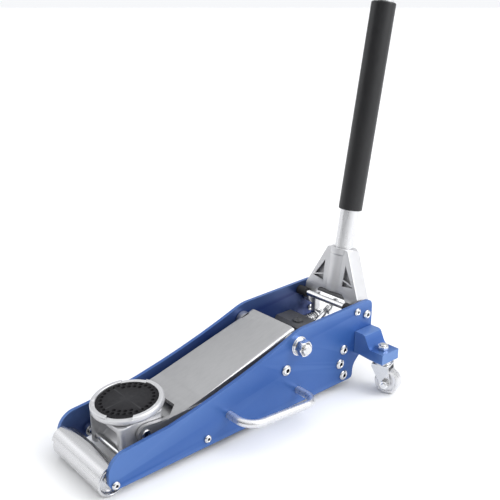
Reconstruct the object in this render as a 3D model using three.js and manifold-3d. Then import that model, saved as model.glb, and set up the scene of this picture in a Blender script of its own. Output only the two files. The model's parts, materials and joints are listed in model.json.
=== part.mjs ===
// Low-profile trolley jack with an aluminium chassis, a lift arm kept level by a pair of links,
// a hydraulic pump block at the rear, a pump handle and two swivel casters.
// Millimetres. X runs from the front roller to the handle, Z is up from the floor, and the
// operator, who stands behind the handle, has -Y on the left and +Y on the right.

import * as THREE from 'three';
import { mergeVertices } from 'three/addons/utils/BufferGeometryUtils.js';
import Module from 'manifold-3d';

// ---------- driving dimensions ----------

const ORIGIN_X = 289;                 // floor point midway along the whole jack
const GAP = 0.3;                      // between pieces that touch
const ROUND = 20;                     // segments of a medium round
const FINE = 32;                      // segments of a large round
const CURVE_STEPS = 6;                // segments of one arc or curve of an outline
const THROUGH = 80;                   // reach of a drill that goes right through, each way
const BIG_HOLE = 4.3;                 // radius of a clearance hole for a large screw
const SMALL_HOLE = 3.3;               // and for a small one
const SIDES = [['left', -1], ['right', 1]];

const PLATE = { length: 500, bottom: 12, thick: 6, outer: 68.75, top: 141, noseRadius: 28.5 };
PLATE.inner = PLATE.outer - PLATE.thick;

const ROLLER = { x: 9, z: 20.5, radius: 20.5, half: 61.5, recessRadius: 16.5, recess: 6 };
const COVER = { half: PLATE.inner - GAP, thick: 2.2, frontX: -11.8, frontZ: 29.6, topZ: 45.6 };
COVER.tongueX = 13;
COVER.endX = 6;

const AXLE_RADIUS = 5;
const TIE = { x: 156, z: 25.2, radius: 6 };
const PIVOT = { x: 331.7, z: 110.5, radius: 8, headRadius: 13.5 };
const LINK_BOLT = { x: 306, z: 78.3, radius: 5 };
const STOP = { x: 462.8, z: 127.4, radius: 5, sleeveRadius: 8, sleeveLength: 20 };
const BLOCK_SCREWS = [[433.4, 70.6], [425.8, 47.4], [434.8, 24.6]];
const BRACKET_SCREWS = [[490, 86], [490, 66], [472, 68]];

const NOSE = { x: 70, z: 59, pinRadius: 7, bossRadius: 12.5 };
const HEAD_PIN = { x: LINK_BOLT.x + NOSE.x - PIVOT.x, z: LINK_BOLT.z + NOSE.z - PIVOT.z, radius: 5 };
const ARM = { outer: 50, inner: 44, skin: 5, slope: 0.3, rearX: 340, rearZ: 131, swing: 65.4 };
const LINK = { inner: 53.5, outer: 59.5, halfWidth: 8.5 };
const HEAD = { outer: 43, inner: 34, front: 36, rear: 106, skin: 8, webFront: 62, webRear: 79 };
const SADDLE = { x: 73.1, z: 90, tilt: -5, ringRadius: 51, padRadius: 43.2, height: 11 };
const NOTCH = { turn: 45, half: 18, depth: 3.2 };

const RAM = { z: 55, radius: 16, rear: 468, pinRadius: 7, crown: 13 };
RAM.lever = PIVOT.z - RAM.z;
RAM.halfSwing = THREE.MathUtils.degToRad(ARM.swing / 2);
RAM.pinX = PIVOT.x + RAM.lever * Math.tan(RAM.halfSwing);
const CYLINDER = { front: 379, rear: 474, radius: 27 };
const BLOCK = { front: 404, rear: 447, bottom: 15, top: 95, half: PLATE.inner - GAP };

const YOKE = { x: 486.2, z: 116.9, lean: 10, boreRadius: 15.9, boltRadius: 6 };
const SOCKET = { radius: 22, low: 21, high: 96 };
const FOLLOWER = { arm: 33, radius: 8, inner: 27, outer: 39.5 };
FOLLOWER.lug = { inner: 40, outer: 50, radius: 6.5 };
const PLUNGER = { y: 35, z: 80, radius: 7, front: 443, capRadius: 12, capX: 473.4, capThick: 3.5 };
const TUBE = { radius: 15.5, inner: 13.5, bottom: 34, top: 493 };
const GRIP = { radius: 19.6, bottom: 160, top: 488.5 };

const CARRY = { frontX: 195.4, frontZ: 47.3, rearX: 331.4, rearZ: 36.1, reach: 43.5, radius: 6, bend: 20 };
const BRACKET = { front: 460, rear: 500, topZ: 72.5, bottomZ: 55.5, reach: 58.5 };
const CASTER = { x: 479.5, y: 112, trail: 12, wheelRadius: 20, wheelHalf: 10, heading: 72 };

// ---------- finishes ----------

const paint = (color, roughness, metalness) =>
  new THREE.MeshStandardMaterial({ color, roughness, metalness });
const FINISH = {
  blue: paint(0x2f62b8, 0.4, 0.35),
  silver: paint(0xc4c6c8, 0.35, 0.7),
  casting: paint(0xb9bbbe, 0.5, 0.6),
  steel: paint(0xd4d6d9, 0.22, 0.95),
  dark: paint(0x45474b, 0.5, 0.5),
  rubber: paint(0x222225, 0.85, 0),
  foam: paint(0x1d1d1f, 0.7, 0),
};

// ---------- solids: joining and cutting ----------

const wasm = await Module();
wasm.setup();

function toSolid(geometry) {
  const plain = new THREE.BufferGeometry();
  plain.setAttribute('position', geometry.getAttribute('position'));
  plain.setIndex(geometry.getIndex());
  const merged = mergeVertices(plain, 1e-4);
  const corners = merged.getIndex().array;
  const kept = [];
  for (let i = 0; i < corners.length; i += 3) {
    const [a, b, c] = corners.slice(i, i + 3);
    if (a !== b && b !== c && c !== a) kept.push(a, b, c);
  }
  const vertProperties = new Float32Array(merged.getAttribute('position').array);
  const triVerts = new Uint32Array(kept);
  return new wasm.Manifold(new wasm.Mesh({ numProp: 3, vertProperties, triVerts }));
}

function toGeometry(solid) {
  const { vertProperties, triVerts } = solid.getMesh();
  const geometry = new THREE.BufferGeometry();
  geometry.setAttribute('position', new THREE.BufferAttribute(new Float32Array(vertProperties), 3));
  geometry.setIndex(new THREE.BufferAttribute(new Uint32Array(triVerts), 1));
  geometry.computeVertexNormals();
  return geometry;
}

const join = (first, ...others) =>
  toGeometry(others.reduce((solid, next) => solid.add(toSolid(next)), toSolid(first)));
const cut = (first, ...others) =>
  toGeometry(others.reduce((solid, next) => solid.subtract(toSolid(next)), toSolid(first)));
const common = (first, second) => toGeometry(toSolid(first).intersect(toSolid(second)));

// ---------- basic forms ----------

function polygon(points) {
  return new THREE.Shape(points.map(([x, y]) => new THREE.Vector2(x, y)));
}

function extrude(shape, depth, curveSegments = CURVE_STEPS) {
  return new THREE.ExtrudeGeometry(shape, { depth, curveSegments, bevelEnabled: false });
}

// An outline drawn in X and Z, carried along Y.
function prismY(shape, low, high, curveSegments = CURVE_STEPS) {
  return extrude(shape, high - low, curveSegments).rotateX(Math.PI / 2).translate(0, high, 0);
}

// An outline drawn in Y and Z, carried along X.
function prismX(shape, low, high) {
  return extrude(shape, high - low).rotateX(Math.PI / 2).rotateZ(Math.PI / 2).translate(low, 0, 0);
}

// An outline drawn in X and Y, carried along Z.
function prismZ(shape, low, high) {
  return extrude(shape, high - low).translate(0, 0, low);
}

function box(low, high) {
  const size = high.map((value, i) => value - low[i]);
  const middle = high.map((value, i) => (value + low[i]) / 2);
  return new THREE.BoxGeometry(...size).translate(...middle);
}

function rodY(radius, x, z, low, high, segments = ROUND) {
  const rod = new THREE.CylinderGeometry(radius, radius, high - low, segments);
  return rod.translate(x, (high + low) / 2, z);
}

function rodX(radius, y, z, low, high, segments = ROUND) {
  const rod = new THREE.CylinderGeometry(radius, radius, high - low, segments);
  return rod.rotateZ(Math.PI / 2).translate((high + low) / 2, y, z);
}

function rodZ(radius, x, y, low, high, segments = ROUND) {
  const rod = new THREE.CylinderGeometry(radius, radius, high - low, segments);
  return rod.rotateX(Math.PI / 2).translate(x, y, (high + low) / 2);
}

// A turned piece: the profile holds [radius, height] pairs, from the foot to the top.
function turned(profile, segments = ROUND) {
  const points = profile.map(([radius, height]) => new THREE.Vector2(radius, height));
  return new THREE.LatheGeometry(points, segments);
}

// A capsule outline between two points of the X-Z plane.
function capsule(x1, z1, x2, z2, radius) {
  const along = Math.atan2(z2 - z1, x2 - x1);
  const outline = new THREE.Shape();
  outline.absarc(x1, z1, radius, along + Math.PI / 2, along - Math.PI / 2, false);
  outline.absarc(x2, z2, radius, along - Math.PI / 2, along + Math.PI / 2, false);
  return outline;
}

// Carries a piece that stands on +Y onto the outer face of a side plate.
function ontoPlate(geometry, side, x, z) {
  if (side < 0) geometry.rotateX(Math.PI);
  return geometry.translate(x, side * PLATE.outer, z);
}

// ---------- the jack ----------

const jack = new THREE.Group();

function add(name, geometry, material, parent = jack) {
  const mesh = new THREE.Mesh(geometry, material);
  mesh.name = name;
  parent.add(mesh);
  return mesh;
}

// ---------- chassis ----------

function plateOutline() {
  const { length, bottom, top, noseRadius } = PLATE;
  const footRadius = 14;
  const outline = new THREE.Shape();
  outline.moveTo(footRadius, bottom);
  outline.lineTo(450, bottom);
  outline.quadraticCurveTo(458, bottom, 458, 20);
  outline.lineTo(458, 26);
  outline.quadraticCurveTo(459, 47, length, 60);
  outline.lineTo(length, top - footRadius);
  outline.quadraticCurveTo(length, top, length - footRadius, top);
  outline.lineTo(352, 136.8);
  outline.quadraticCurveTo(338, 137, 325, 132.6);
  outline.quadraticCurveTo(215, 91, 95, 68.4);
  outline.lineTo(85, 67.6);
  outline.absarc(noseRadius, 34, noseRadius, Math.PI / 2, Math.PI, false);
  outline.absarc(footRadius, bottom + footRadius, footRadius, Math.PI, 1.5 * Math.PI, false);
  return outline;
}

function plateHoles(low, high) {
  const holes = [
    [ROLLER.x, ROLLER.z, BIG_HOLE],
    [TIE.x, TIE.z, BIG_HOLE],
    [LINK_BOLT.x, LINK_BOLT.z, LINK_BOLT.radius + GAP],
    [PIVOT.x, PIVOT.z, PIVOT.radius + GAP],
    [STOP.x, STOP.z, SMALL_HOLE],
    [YOKE.x, YOKE.z, YOKE.boltRadius + GAP],
    ...BLOCK_SCREWS.map(([x, z]) => [x, z, BIG_HOLE]),
    ...BRACKET_SCREWS.map(([x, z]) => [x, z, SMALL_HOLE]),
  ];
  return holes.map(([x, z, radius]) => rodY(radius, x, z, low - 1, high + 1, 12));
}

function sidePlate(side) {
  const [low, high] = [side * PLATE.inner, side * PLATE.outer].sort((a, b) => a - b);
  return cut(prismY(plateOutline(), low, high), ...plateHoles(low, high));
}

// The nose cover bends over the roller; its rear edge bulges back at the middle.
function frontCover() {
  const { half, thick, frontX, frontZ, topZ, tongueX, endX } = COVER;
  const profile = new THREE.Shape();
  profile.moveTo(frontX, frontZ);
  profile.lineTo(frontX + thick, frontZ - 0.4);
  profile.quadraticCurveTo(-7.4, 41.2, 6, topZ - thick);
  profile.lineTo(tongueX, topZ - thick);
  profile.lineTo(tongueX, topZ);
  profile.lineTo(6, topZ);
  profile.quadraticCurveTo(-9.5, 43.5, frontX, frontZ);
  const plan = new THREE.Shape();
  plan.moveTo(frontX - 5, -half);
  plan.lineTo(endX, -half);
  plan.quadraticCurveTo(2 * tongueX - endX, 0, endX, half);
  plan.lineTo(frontX - 5, half);
  return common(prismY(profile, -half, half), prismZ(plan, 0, 60));
}

// A plain rod between the plates, drilled at both ends for its screws.
function drilledRod(radius, x, z) {
  const end = PLATE.inner - GAP;
  const depth = 16;
  const screwHoles = [[-end - 1, -end + depth], [end - depth, end + 1]]
    .map(([low, high]) => rodY(BIG_HOLE, x, z, low, high, 16));
  return cut(rodY(radius, x, z, -end, end), ...screwHoles);
}

// A screw with a low domed head; its foot is inside the plate.
function domeScrew(headRadius, shankRadius, depth) {
  const head = 4.6;
  return turned([
    [0, -depth], [shankRadius, -depth], [shankRadius, GAP], [headRadius, GAP],
    [headRadius, GAP + 0.4 * head], [0.6 * headRadius, GAP + head], [0, GAP + head],
  ], 14);
}

function addChassis() {
  for (const [name, side] of SIDES) {
    add(`side_plate_${name}`, sidePlate(side), FINISH.blue);
    const screw = (x, z, headRadius, shankRadius, depth) =>
      ontoPlate(domeScrew(headRadius, shankRadius, depth), side, x, z);
    add(`front_axle_screw_${name}`, screw(ROLLER.x, ROLLER.z, 6, 4, 18), FINISH.steel);
    add(`tie_rod_screw_${name}`, screw(TIE.x, TIE.z, 6, 4, 18), FINISH.steel);
    BLOCK_SCREWS.forEach(([x, z], i) =>
      add(`block_screw_${name}_${i + 1}`, screw(x, z, 8.6, 4, 18), FINISH.steel));
    const linkDepth = PLATE.outer - ARM.outer - 1.5;
    add(`link_bolt_${name}`, screw(LINK_BOLT.x, LINK_BOLT.z, 9, LINK_BOLT.radius, linkDepth), FINISH.steel);
  }
  add('front_cover', frontCover(), FINISH.silver);
  add('front_axle', drilledRod(AXLE_RADIUS + 1, ROLLER.x, ROLLER.z), FINISH.steel);
  add('tie_rod', drilledRod(TIE.radius, TIE.x, TIE.z), FINISH.steel);
}

function pivotBolt() {
  const headSide = PLATE.outer + GAP;
  const shank = rodY(PIVOT.radius, PIVOT.x, PIVOT.z, -PLATE.outer - 21, headSide + 1);
  const head = rodY(PIVOT.headRadius, PIVOT.x, PIVOT.z, headSide, headSide + 10, 6);
  return join(shank, head);
}

function pivotNut() {
  const seat = -PLATE.outer - 2.5;
  const hex = rodY(PIVOT.headRadius, PIVOT.x, PIVOT.z, seat - 14, seat, 6);
  const flange = rodY(PIVOT.headRadius + 0.4, PIVOT.x, PIVOT.z, seat - 3, seat);
  const bore = rodY(PIVOT.radius + GAP, PIVOT.x, PIVOT.z, seat - 15, seat + 1);
  return cut(join(hex, flange), bore);
}

function stopSleeve(side) {
  const outer = side * (PLATE.inner - GAP);
  const inner = outer - side * STOP.sleeveLength;
  const [low, high] = [inner, outer].sort((a, b) => a - b);
  const body = rodY(STOP.sleeveRadius, STOP.x, STOP.z, low, high, 20);
  return cut(body, rodY(STOP.radius + GAP, STOP.x, STOP.z, low - 1, high + 1));
}

function stopBar() {
  const end = PLATE.inner - GAP;
  const holes = SIDES.map(([, side]) =>
    rodY(SMALL_HOLE, STOP.x, STOP.z, side * end - 10, side * end + 10, 12));
  return cut(rodY(STOP.radius, STOP.x, STOP.z, -end, end, 20), ...holes);
}

// A round bar bent twice, so that it stands off the left-hand plate.
function carryHandle() {
  const { frontX, frontZ, rearX, rearZ, reach, radius, bend } = CARRY;
  const foot = -PLATE.outer - GAP;
  const far = -PLATE.outer - reach;
  const point = (x, y) => new THREE.Vector3(x, y,
    frontZ + (rearZ - frontZ) * (x - frontX) / (rearX - frontX));
  const path = new THREE.CurvePath();
  path.add(new THREE.LineCurve3(point(frontX, foot), point(frontX, far + bend)));
  path.add(new THREE.QuadraticBezierCurve3(
    point(frontX, far + bend), point(frontX, far), point(frontX + bend, far)));
  path.add(new THREE.LineCurve3(point(frontX + bend, far), point(rearX - bend, far)));
  path.add(new THREE.QuadraticBezierCurve3(
    point(rearX - bend, far), point(rearX, far), point(rearX, far + bend)));
  path.add(new THREE.LineCurve3(point(rearX, far + bend), point(rearX, foot)));
  const section = new THREE.Shape().absarc(0, 0, radius, 0, 2 * Math.PI, false);
  return new THREE.ExtrudeGeometry(section, { extrudePath: path, steps: 26, curveSegments: 6 });
}

function addFittings() {
  add('main_pivot_bolt', pivotBolt(), FINISH.steel);
  add('main_pivot_nut', pivotNut(), FINISH.steel);
  add('stop_bar', stopBar(), FINISH.steel);
  for (const [name, side] of SIDES) {
    add(`stop_sleeve_${name}`, stopSleeve(side), FINISH.rubber);
    const bolt = ontoPlate(domeScrew(8, YOKE.boltRadius, 19), side, YOKE.x, YOKE.z);
    add(`yoke_bolt_${name}`, bolt, FINISH.steel);
  }
  add('carry_handle', carryHandle(), FINISH.casting);
}

// ---------- front roller ----------

function frontRoller() {
  const { radius, half, recessRadius, recess } = ROLLER;
  const bore = AXLE_RADIUS + 1 + GAP;
  const edge = 0.8;
  const hub = half - recess;
  return turned([
    [bore, -hub], [recessRadius, -hub], [recessRadius, -half], [radius - edge, -half],
    [radius, -half + edge], [radius, half - edge], [radius - edge, half],
    [recessRadius, half], [recessRadius, hub], [bore, hub], [bore, -hub],
  ], FINE).translate(ROLLER.x, 0, ROLLER.z);
}

// ---------- lift arm and levelling links ----------

// Direction from the main pivot down the lugs that carry the ram pin, and across them.
const lugDown = new THREE.Vector2(Math.sin(RAM.halfSwing), -Math.cos(RAM.halfSwing));
const lugAcross = new THREE.Vector2(Math.cos(RAM.halfSwing), Math.sin(RAM.halfSwing));

function lugPoint(down, across) {
  return [
    PIVOT.x + down * lugDown.x + across * lugAcross.x,
    PIVOT.z + down * lugDown.y + across * lugAcross.y,
  ];
}

function armTop(x) {
  return ARM.rearZ - ARM.slope * (ARM.rearX - x);
}

function armOutline() {
  const lugHalf = 15;
  const reach = RAM.lever / Math.cos(RAM.halfSwing);
  const [endX, endZ] = lugPoint(reach, 0);
  const outline = new THREE.Shape();
  outline.moveTo(NOSE.x, NOSE.z - NOSE.bossRadius);
  outline.lineTo(130, 41);
  outline.lineTo(300, 63);
  outline.lineTo(338, 68);
  outline.lineTo(...lugPoint(reach, -lugHalf));
  outline.absarc(endX, endZ, lugHalf, Math.PI + RAM.halfSwing, 2 * Math.PI + RAM.halfSwing, false);
  outline.lineTo(...lugPoint(6, lugHalf));
  outline.lineTo(ARM.rearX, ARM.rearZ);
  outline.lineTo(165, armTop(165));
  outline.quadraticCurveTo(130, armTop(130), 105, 69);
  outline.lineTo(84, 70.5);
  outline.quadraticCurveTo(80, 71.5, NOSE.x, NOSE.z + NOSE.bossRadius);
  outline.absarc(NOSE.x, NOSE.z, NOSE.bossRadius, Math.PI / 2, 1.5 * Math.PI, false);
  return outline;
}

// The hollow under the top skin, open below.
function armHollow() {
  const { skin, inner } = ARM;
  const outline = polygon([
    [50, 20], [400, 20], [400, 100], [ARM.rearX + 30, ARM.rearZ - 3],
    [ARM.rearX, ARM.rearZ - skin], [165, armTop(165) - skin], [135, 65.5], [105, 64], [50, 64],
  ]);
  return prismY(outline, -inner, inner);
}

// The window in the top skin that the saddle head comes through.
function armWindow() {
  const plan = polygon([[40, -44], [112, -44], [131, -28], [131, 28], [112, 44], [40, 44]]);
  return prismZ(plan, 60, 90);
}

// The ram pin runs down this slot and back as the arm swings.
function lugSlot() {
  const play = 1.8;
  const near = lugPoint(RAM.lever - 1.5, 0);
  const far = lugPoint(RAM.lever / Math.cos(RAM.halfSwing) + 0.5, 0);
  return prismY(capsule(...near, ...far, RAM.pinRadius + play), -THROUGH, THROUGH);
}

// A bent sheet with a tie plate under the window and bosses that turn on the main pivot.
function liftArm() {
  const { outer, inner } = ARM;
  const bossRadius = 13.5;
  const bossEnd = PLATE.inner - 0.8;
  const bosses = SIDES.map(([, side]) => {
    const [low, high] = [side * (inner + 1), side * bossEnd].sort((a, b) => a - b);
    return rodY(bossRadius, PIVOT.x, PIVOT.z, low, high);
  });
  const body = cut(prismY(armOutline(), -outer, outer), armHollow(), armWindow());
  const tiePlate = box([112, -inner - 1, 55], [138, inner + 1, 59]);
  return cut(
    join(body, tiePlate, ...bosses),
    rodY(PIVOT.radius + GAP, PIVOT.x, PIVOT.z, -THROUGH, THROUGH),
    rodY(NOSE.pinRadius + GAP, NOSE.x, NOSE.z, -THROUGH, THROUGH),
    lugSlot(),
  );
}

function levellingLink(side) {
  const [low, high] = [side * LINK.inner, side * LINK.outer].sort((a, b) => a - b);
  const bar = prismY(capsule(HEAD_PIN.x, HEAD_PIN.z, LINK_BOLT.x, LINK_BOLT.z, LINK.halfWidth), low, high);
  return cut(
    bar,
    rodY(LINK_BOLT.radius + GAP, LINK_BOLT.x, LINK_BOLT.z, low - 1, high + 1, 20),
    rodY(HEAD_PIN.radius + 0.6, HEAD_PIN.x, HEAD_PIN.z, low - 1, high + 1, 20),
  );
}

function addArm() {
  add('lift_arm', liftArm(), FINISH.silver);
  add('nose_pin', rodY(NOSE.pinRadius, NOSE.x, NOSE.z, -51.5, 51.5), FINISH.steel);
  for (const [name, side] of SIDES) {
    add(`levelling_link_${name}`, levellingLink(side), FINISH.steel);
  }
}

// ---------- saddle head and saddle ----------

// Everything above the head stands on an axis that leans slightly to the front.
const saddleAxis = new THREE.Group();
saddleAxis.position.set(SADDLE.x, 0, SADDLE.z);
saddleAxis.rotation.y = THREE.MathUtils.degToRad(SADDLE.tilt);
jack.add(saddleAxis);

function headTop(x) {
  const lean = Math.tan(THREE.MathUtils.degToRad(-SADDLE.tilt));
  return SADDLE.z - SADDLE.height - GAP + lean * (x - SADDLE.x);
}

function headOutline() {
  const bossRadius = 10;
  const outline = new THREE.Shape();
  outline.moveTo(HEAD.front, headTop(HEAD.front));
  outline.lineTo(HEAD_PIN.x - bossRadius, HEAD_PIN.z);
  outline.absarc(HEAD_PIN.x, HEAD_PIN.z, bossRadius, Math.PI, 1.75 * Math.PI, false);
  outline.lineTo(83, 48);
  outline.lineTo(HEAD.rear, headTop(HEAD.rear) - 9);
  outline.lineTo(HEAD.rear, headTop(HEAD.rear));
  return outline;
}

// Two side walls under a top, with a web between them that the nose pin runs through and a
// floor that runs from the web down to the head pin.
function saddleHead() {
  const { outer, inner, front, rear, skin, webFront, webRear } = HEAD;
  const ceiling = (x) => [x, headTop(x) - skin];
  const frontHollow = [
    [front - 10, 0], [50, 0], [50, 27], [webFront, 37], ceiling(webFront), ceiling(front - 10),
  ];
  const rearHollow = [[webRear, 0], [rear + 10, 0], ceiling(rear + 10), ceiling(webRear)];
  const studHole = rodZ(10.4, 0, 0, -20.5, 10);
  studHole.rotateY(THREE.MathUtils.degToRad(SADDLE.tilt)).translate(SADDLE.x, 0, SADDLE.z);
  return cut(
    prismY(headOutline(), -outer, outer),
    prismY(polygon(frontHollow), -inner, inner),
    prismY(polygon(rearHollow), -inner, inner),
    studHole,
    rodY(NOSE.pinRadius + GAP, NOSE.x, NOSE.z, -THROUGH, THROUGH),
    rodY(HEAD_PIN.radius + GAP, HEAD_PIN.x, HEAD_PIN.z, -THROUGH, THROUGH),
  );
}

// A shallow cup with a raised rim, notched at two opposite places, and a stud below.
function saddleCup() {
  const { ringRadius, padRadius, height } = SADDLE;
  const rim = 1;
  const seat = -6.3;
  const body = turned([
    [0, -height - 8], [10, -height - 8], [10, -height], [ringRadius - 5, -height],
    [ringRadius, -height + 4.5], [ringRadius, -2.2], [ringRadius - 2.6, rim],
    [padRadius + GAP, rim], [padRadius + GAP, seat], [0, seat],
  ], FINE).rotateX(Math.PI / 2);
  const notches = [0, 180].map((turn) => {
    const notch = box([padRadius - 8, -NOTCH.half, rim - NOTCH.depth], [ringRadius + 5, NOTCH.half, rim + 5]);
    return notch.rotateZ(THREE.MathUtils.degToRad(NOTCH.turn + turn));
  });
  return cut(body, ...notches);
}

function saddlePad() {
  const { padRadius } = SADDLE;
  return turned([
    [0, -6], [padRadius, -6], [padRadius, -1.2], [padRadius - 1.2, 0], [0, 0],
  ], FINE).rotateX(Math.PI / 2);
}

function addSaddle() {
  add('saddle_head', saddleHead(), FINISH.casting);
  add('head_pin', rodY(HEAD_PIN.radius, HEAD_PIN.x, HEAD_PIN.z, -61, 61, 20), FINISH.steel);
  add('saddle_cup', saddleCup(), FINISH.casting, saddleAxis);
  add('saddle_pad', saddlePad(), FINISH.rubber, saddleAxis);
}

// ---------- hydraulic unit ----------

function ramRod() {
  const { radius, rear, pinX, pinRadius, z, crown } = RAM;
  const body = rodX(radius, 0, z, pinX - crown, rear);
  return cut(body, rodY(pinRadius + GAP, pinX, z, -40, 40));
}

function ramCylinder() {
  const { front, rear, radius } = CYLINDER;
  const bore = RAM.radius + GAP;
  const endWall = 5;
  return turned([
    [bore, front], [radius - 2, front], [radius, front + 2], [radius, rear - 2],
    [radius - 2, rear], [0, rear], [0, rear - endWall], [bore, rear - endWall], [bore, front],
  ], 32).rotateZ(-Math.PI / 2).translate(0, 0, RAM.z);
}

function pumpBlock() {
  const { front, rear, bottom, top, half } = BLOCK;
  const bevel = 5;
  const outline = polygon([
    [front, bottom], [rear, bottom], [rear, top - bevel], [rear - bevel, top],
    [front + bevel, top], [front, top - bevel],
  ]);
  const screwHoles = SIDES.flatMap(([, side]) => BLOCK_SCREWS.map(([x, z]) => {
    const [low, high] = [side * (half - 14), side * (half + 5)].sort((a, b) => a - b);
    return rodY(BIG_HOLE, x, z, low, high, 12);
  }));
  const plungerBores = SIDES.map(([, side]) =>
    rodX(PLUNGER.radius + GAP, side * PLUNGER.y, PLUNGER.z, 412, rear + 5));
  return cut(
    prismY(outline, -half, half),
    rodX(CYLINDER.radius + GAP, 0, RAM.z, front - 5, rear + 5, 32),
    ...screwHoles,
    ...plungerBores,
    rodZ(6 + GAP, 418, 20, top - 8, top + 5, 16),
    valveRod(4.9, -2, 24),
  );
}

function fillerPlug() {
  const seat = BLOCK.top + GAP;
  return turned([
    [0, seat - 7], [6, seat - 7], [6, seat], [9, seat], [9, seat + 2.4], [8, seat + 3.4],
    [0, seat + 3.4],
  ], 20).rotateX(Math.PI / 2).translate(418, 20, 0);
}

// The valve axis runs from the yoke's pivot down and forward into the pump block.
const valveFoot = new THREE.Vector2(437, 89.5);
const valveAlong = new THREE.Vector2(YOKE.x, YOKE.z).sub(valveFoot);
const valveLength = valveAlong.length();
const valveLean = Math.atan2(valveAlong.x, valveAlong.y);

// A rod on the valve axis, measured from the foot.
function valveRod(radius, low, high, segments = 16) {
  const rod = rodZ(radius, 0, 0, low, high, segments);
  return rod.rotateY(valveLean).translate(valveFoot.x, 0, valveFoot.y);
}

function releaseValve() {
  const ball = new THREE.SphereGeometry(6.5, 14, 8).translate(YOKE.x, 0, YOKE.z);
  return join(valveRod(4.5, 0, 26), valveRod(3.8, 20, valveLength), valveRod(6.5, 32, 42), ball);
}

function plunger(side) {
  const { y, z, radius, front, capRadius, capX, capThick } = PLUNGER;
  const rod = rodX(radius, side * y, z, front, capX + 0.5);
  return join(rod, rodX(capRadius, side * y, z, capX, capX + capThick));
}

function addHydraulics() {
  add('ram_rod', ramRod(), FINISH.steel);
  add('ram_pin', rodY(RAM.pinRadius, RAM.pinX, RAM.z, -52, 52, 20), FINISH.steel);
  add('ram_cylinder', ramCylinder(), FINISH.dark);
  add('pump_block', pumpBlock(), FINISH.dark);
  add('filler_plug', fillerPlug(), FINISH.dark);
  add('release_valve', releaseValve(), FINISH.steel);
  for (const [name, side] of SIDES) {
    add(`pump_plunger_${name}`, plunger(side), FINISH.steel);
  }
}

// ---------- handle ----------

// The yoke and the handle share an axis that leans back from the yoke's pivot.
const handleAxis = new THREE.Group();
handleAxis.position.set(YOKE.x, 0, YOKE.z);
handleAxis.rotation.y = THREE.MathUtils.degToRad(YOKE.lean);
jack.add(handleAxis);

const WEB = { front: -16, rear: -7, topZ: 94, topHalf: 22, footZ: 7, footHalf: 58, wall: 7 };
WEB.shoulderZ = 21;
WEB.archHalf = 33;
WEB.archZ = SOCKET.low;
WEB.bossRadius = 16;

function webOutline() {
  const { archHalf, archZ, footHalf, footZ, shoulderZ, topHalf, topZ } = WEB;
  const flatHalf = 20;
  const outline = new THREE.Shape();
  outline.moveTo(-footHalf, footZ);
  outline.lineTo(-archHalf, footZ);
  outline.quadraticCurveTo(2 - archHalf, archZ, -flatHalf, archZ);
  outline.lineTo(flatHalf, archZ);
  outline.quadraticCurveTo(archHalf - 2, archZ, archHalf, footZ);
  outline.lineTo(footHalf, footZ);
  outline.lineTo(footHalf, shoulderZ);
  outline.lineTo(topHalf, topZ);
  outline.lineTo(-topHalf, topZ);
  outline.lineTo(-footHalf, shoulderZ);
  return outline;
}

// One of the two slanting side walls, with its pivot boss and the lug for the follower.
function yokeSide(side) {
  const { topHalf, topZ, footHalf, footZ, shoulderZ, wall, front } = WEB;
  const outline = polygon([
    [side * topHalf, topZ], [side * (topHalf - wall), topZ],
    [side * (footHalf - wall), shoulderZ], [side * (footHalf - wall), footZ],
    [side * footHalf, footZ], [side * footHalf, shoulderZ],
  ]);
  const slant = prismX(outline, front, 13);
  const [low, high] = [side * 47, side * 61.5].sort((a, b) => a - b);
  const boss = rodY(WEB.bossRadius, 0, 0, low, high);
  const [followerX, followerZ] = followerPlace();
  const { inner, outer, radius } = FOLLOWER.lug;
  const [lugLow, lugHigh] = [side * inner, side * outer].sort((a, b) => a - b);
  const lug = prismY(capsule(0, 0, followerX, followerZ, radius), lugLow, lugHigh);
  return [slant, boss, lug];
}

// Where the follower sits on the leaning yoke so that it hangs straight below the pivot.
function followerPlace() {
  const lean = THREE.MathUtils.degToRad(YOKE.lean);
  return [FOLLOWER.arm * Math.sin(lean), -FOLLOWER.arm * Math.cos(lean)];
}

function webPocket(side) {
  const depth = 6;
  const pocket = polygon([[side * 22.5, 70], [side * 21.5, 34.5], [side * 45, 37.5]]);
  return prismX(pocket, WEB.front - 2, WEB.front + depth);
}

function handleYoke() {
  const [followerX, followerZ] = followerPlace();
  const socket = rodZ(SOCKET.radius, 0, 0, SOCKET.low, SOCKET.high, 32);
  const body = join(
    prismX(webOutline(), WEB.front, WEB.rear), socket, ...yokeSide(-1), ...yokeSide(1));
  return cut(
    body,
    webPocket(-1),
    webPocket(1),
    rodZ(YOKE.boreRadius, 0, 0, SOCKET.low - 1, SOCKET.high + 1, 32),
    rodY(YOKE.boltRadius + GAP, 0, 0, -THROUGH, THROUGH, 20),
    rodY(BIG_HOLE, followerX, followerZ, -THROUGH, THROUGH, 16),
    rodX(3.5, 0, 80, 5, 30, 16),
  );
}

// A roller on a stud, which pushes one plunger.
function follower(side) {
  const [x, z] = followerPlace();
  const { radius, inner, outer, lug } = FOLLOWER;
  const [low, high] = [side * inner, side * outer].sort((a, b) => a - b);
  const [studLow, studHigh] = [side * (inner + 2), side * lug.outer].sort((a, b) => a - b);
  return join(rodY(radius, x, z, low, high, 20), rodY(4, x, z, studLow, studHigh, 16));
}

function clampScrew() {
  const seat = SOCKET.radius + GAP;
  const height = 80;
  const shank = rodX(3.2, 0, height, YOKE.boreRadius + 0.6, seat + 1, 16);
  return join(shank, rodX(6.5, 0, height, seat, seat + 5, 6));
}

function handleTube() {
  const { radius, inner, bottom, top } = TUBE;
  return turned([
    [inner, bottom], [radius, bottom], [radius, top], [inner, top], [inner, bottom],
  ], 32).rotateX(Math.PI / 2);
}

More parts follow.
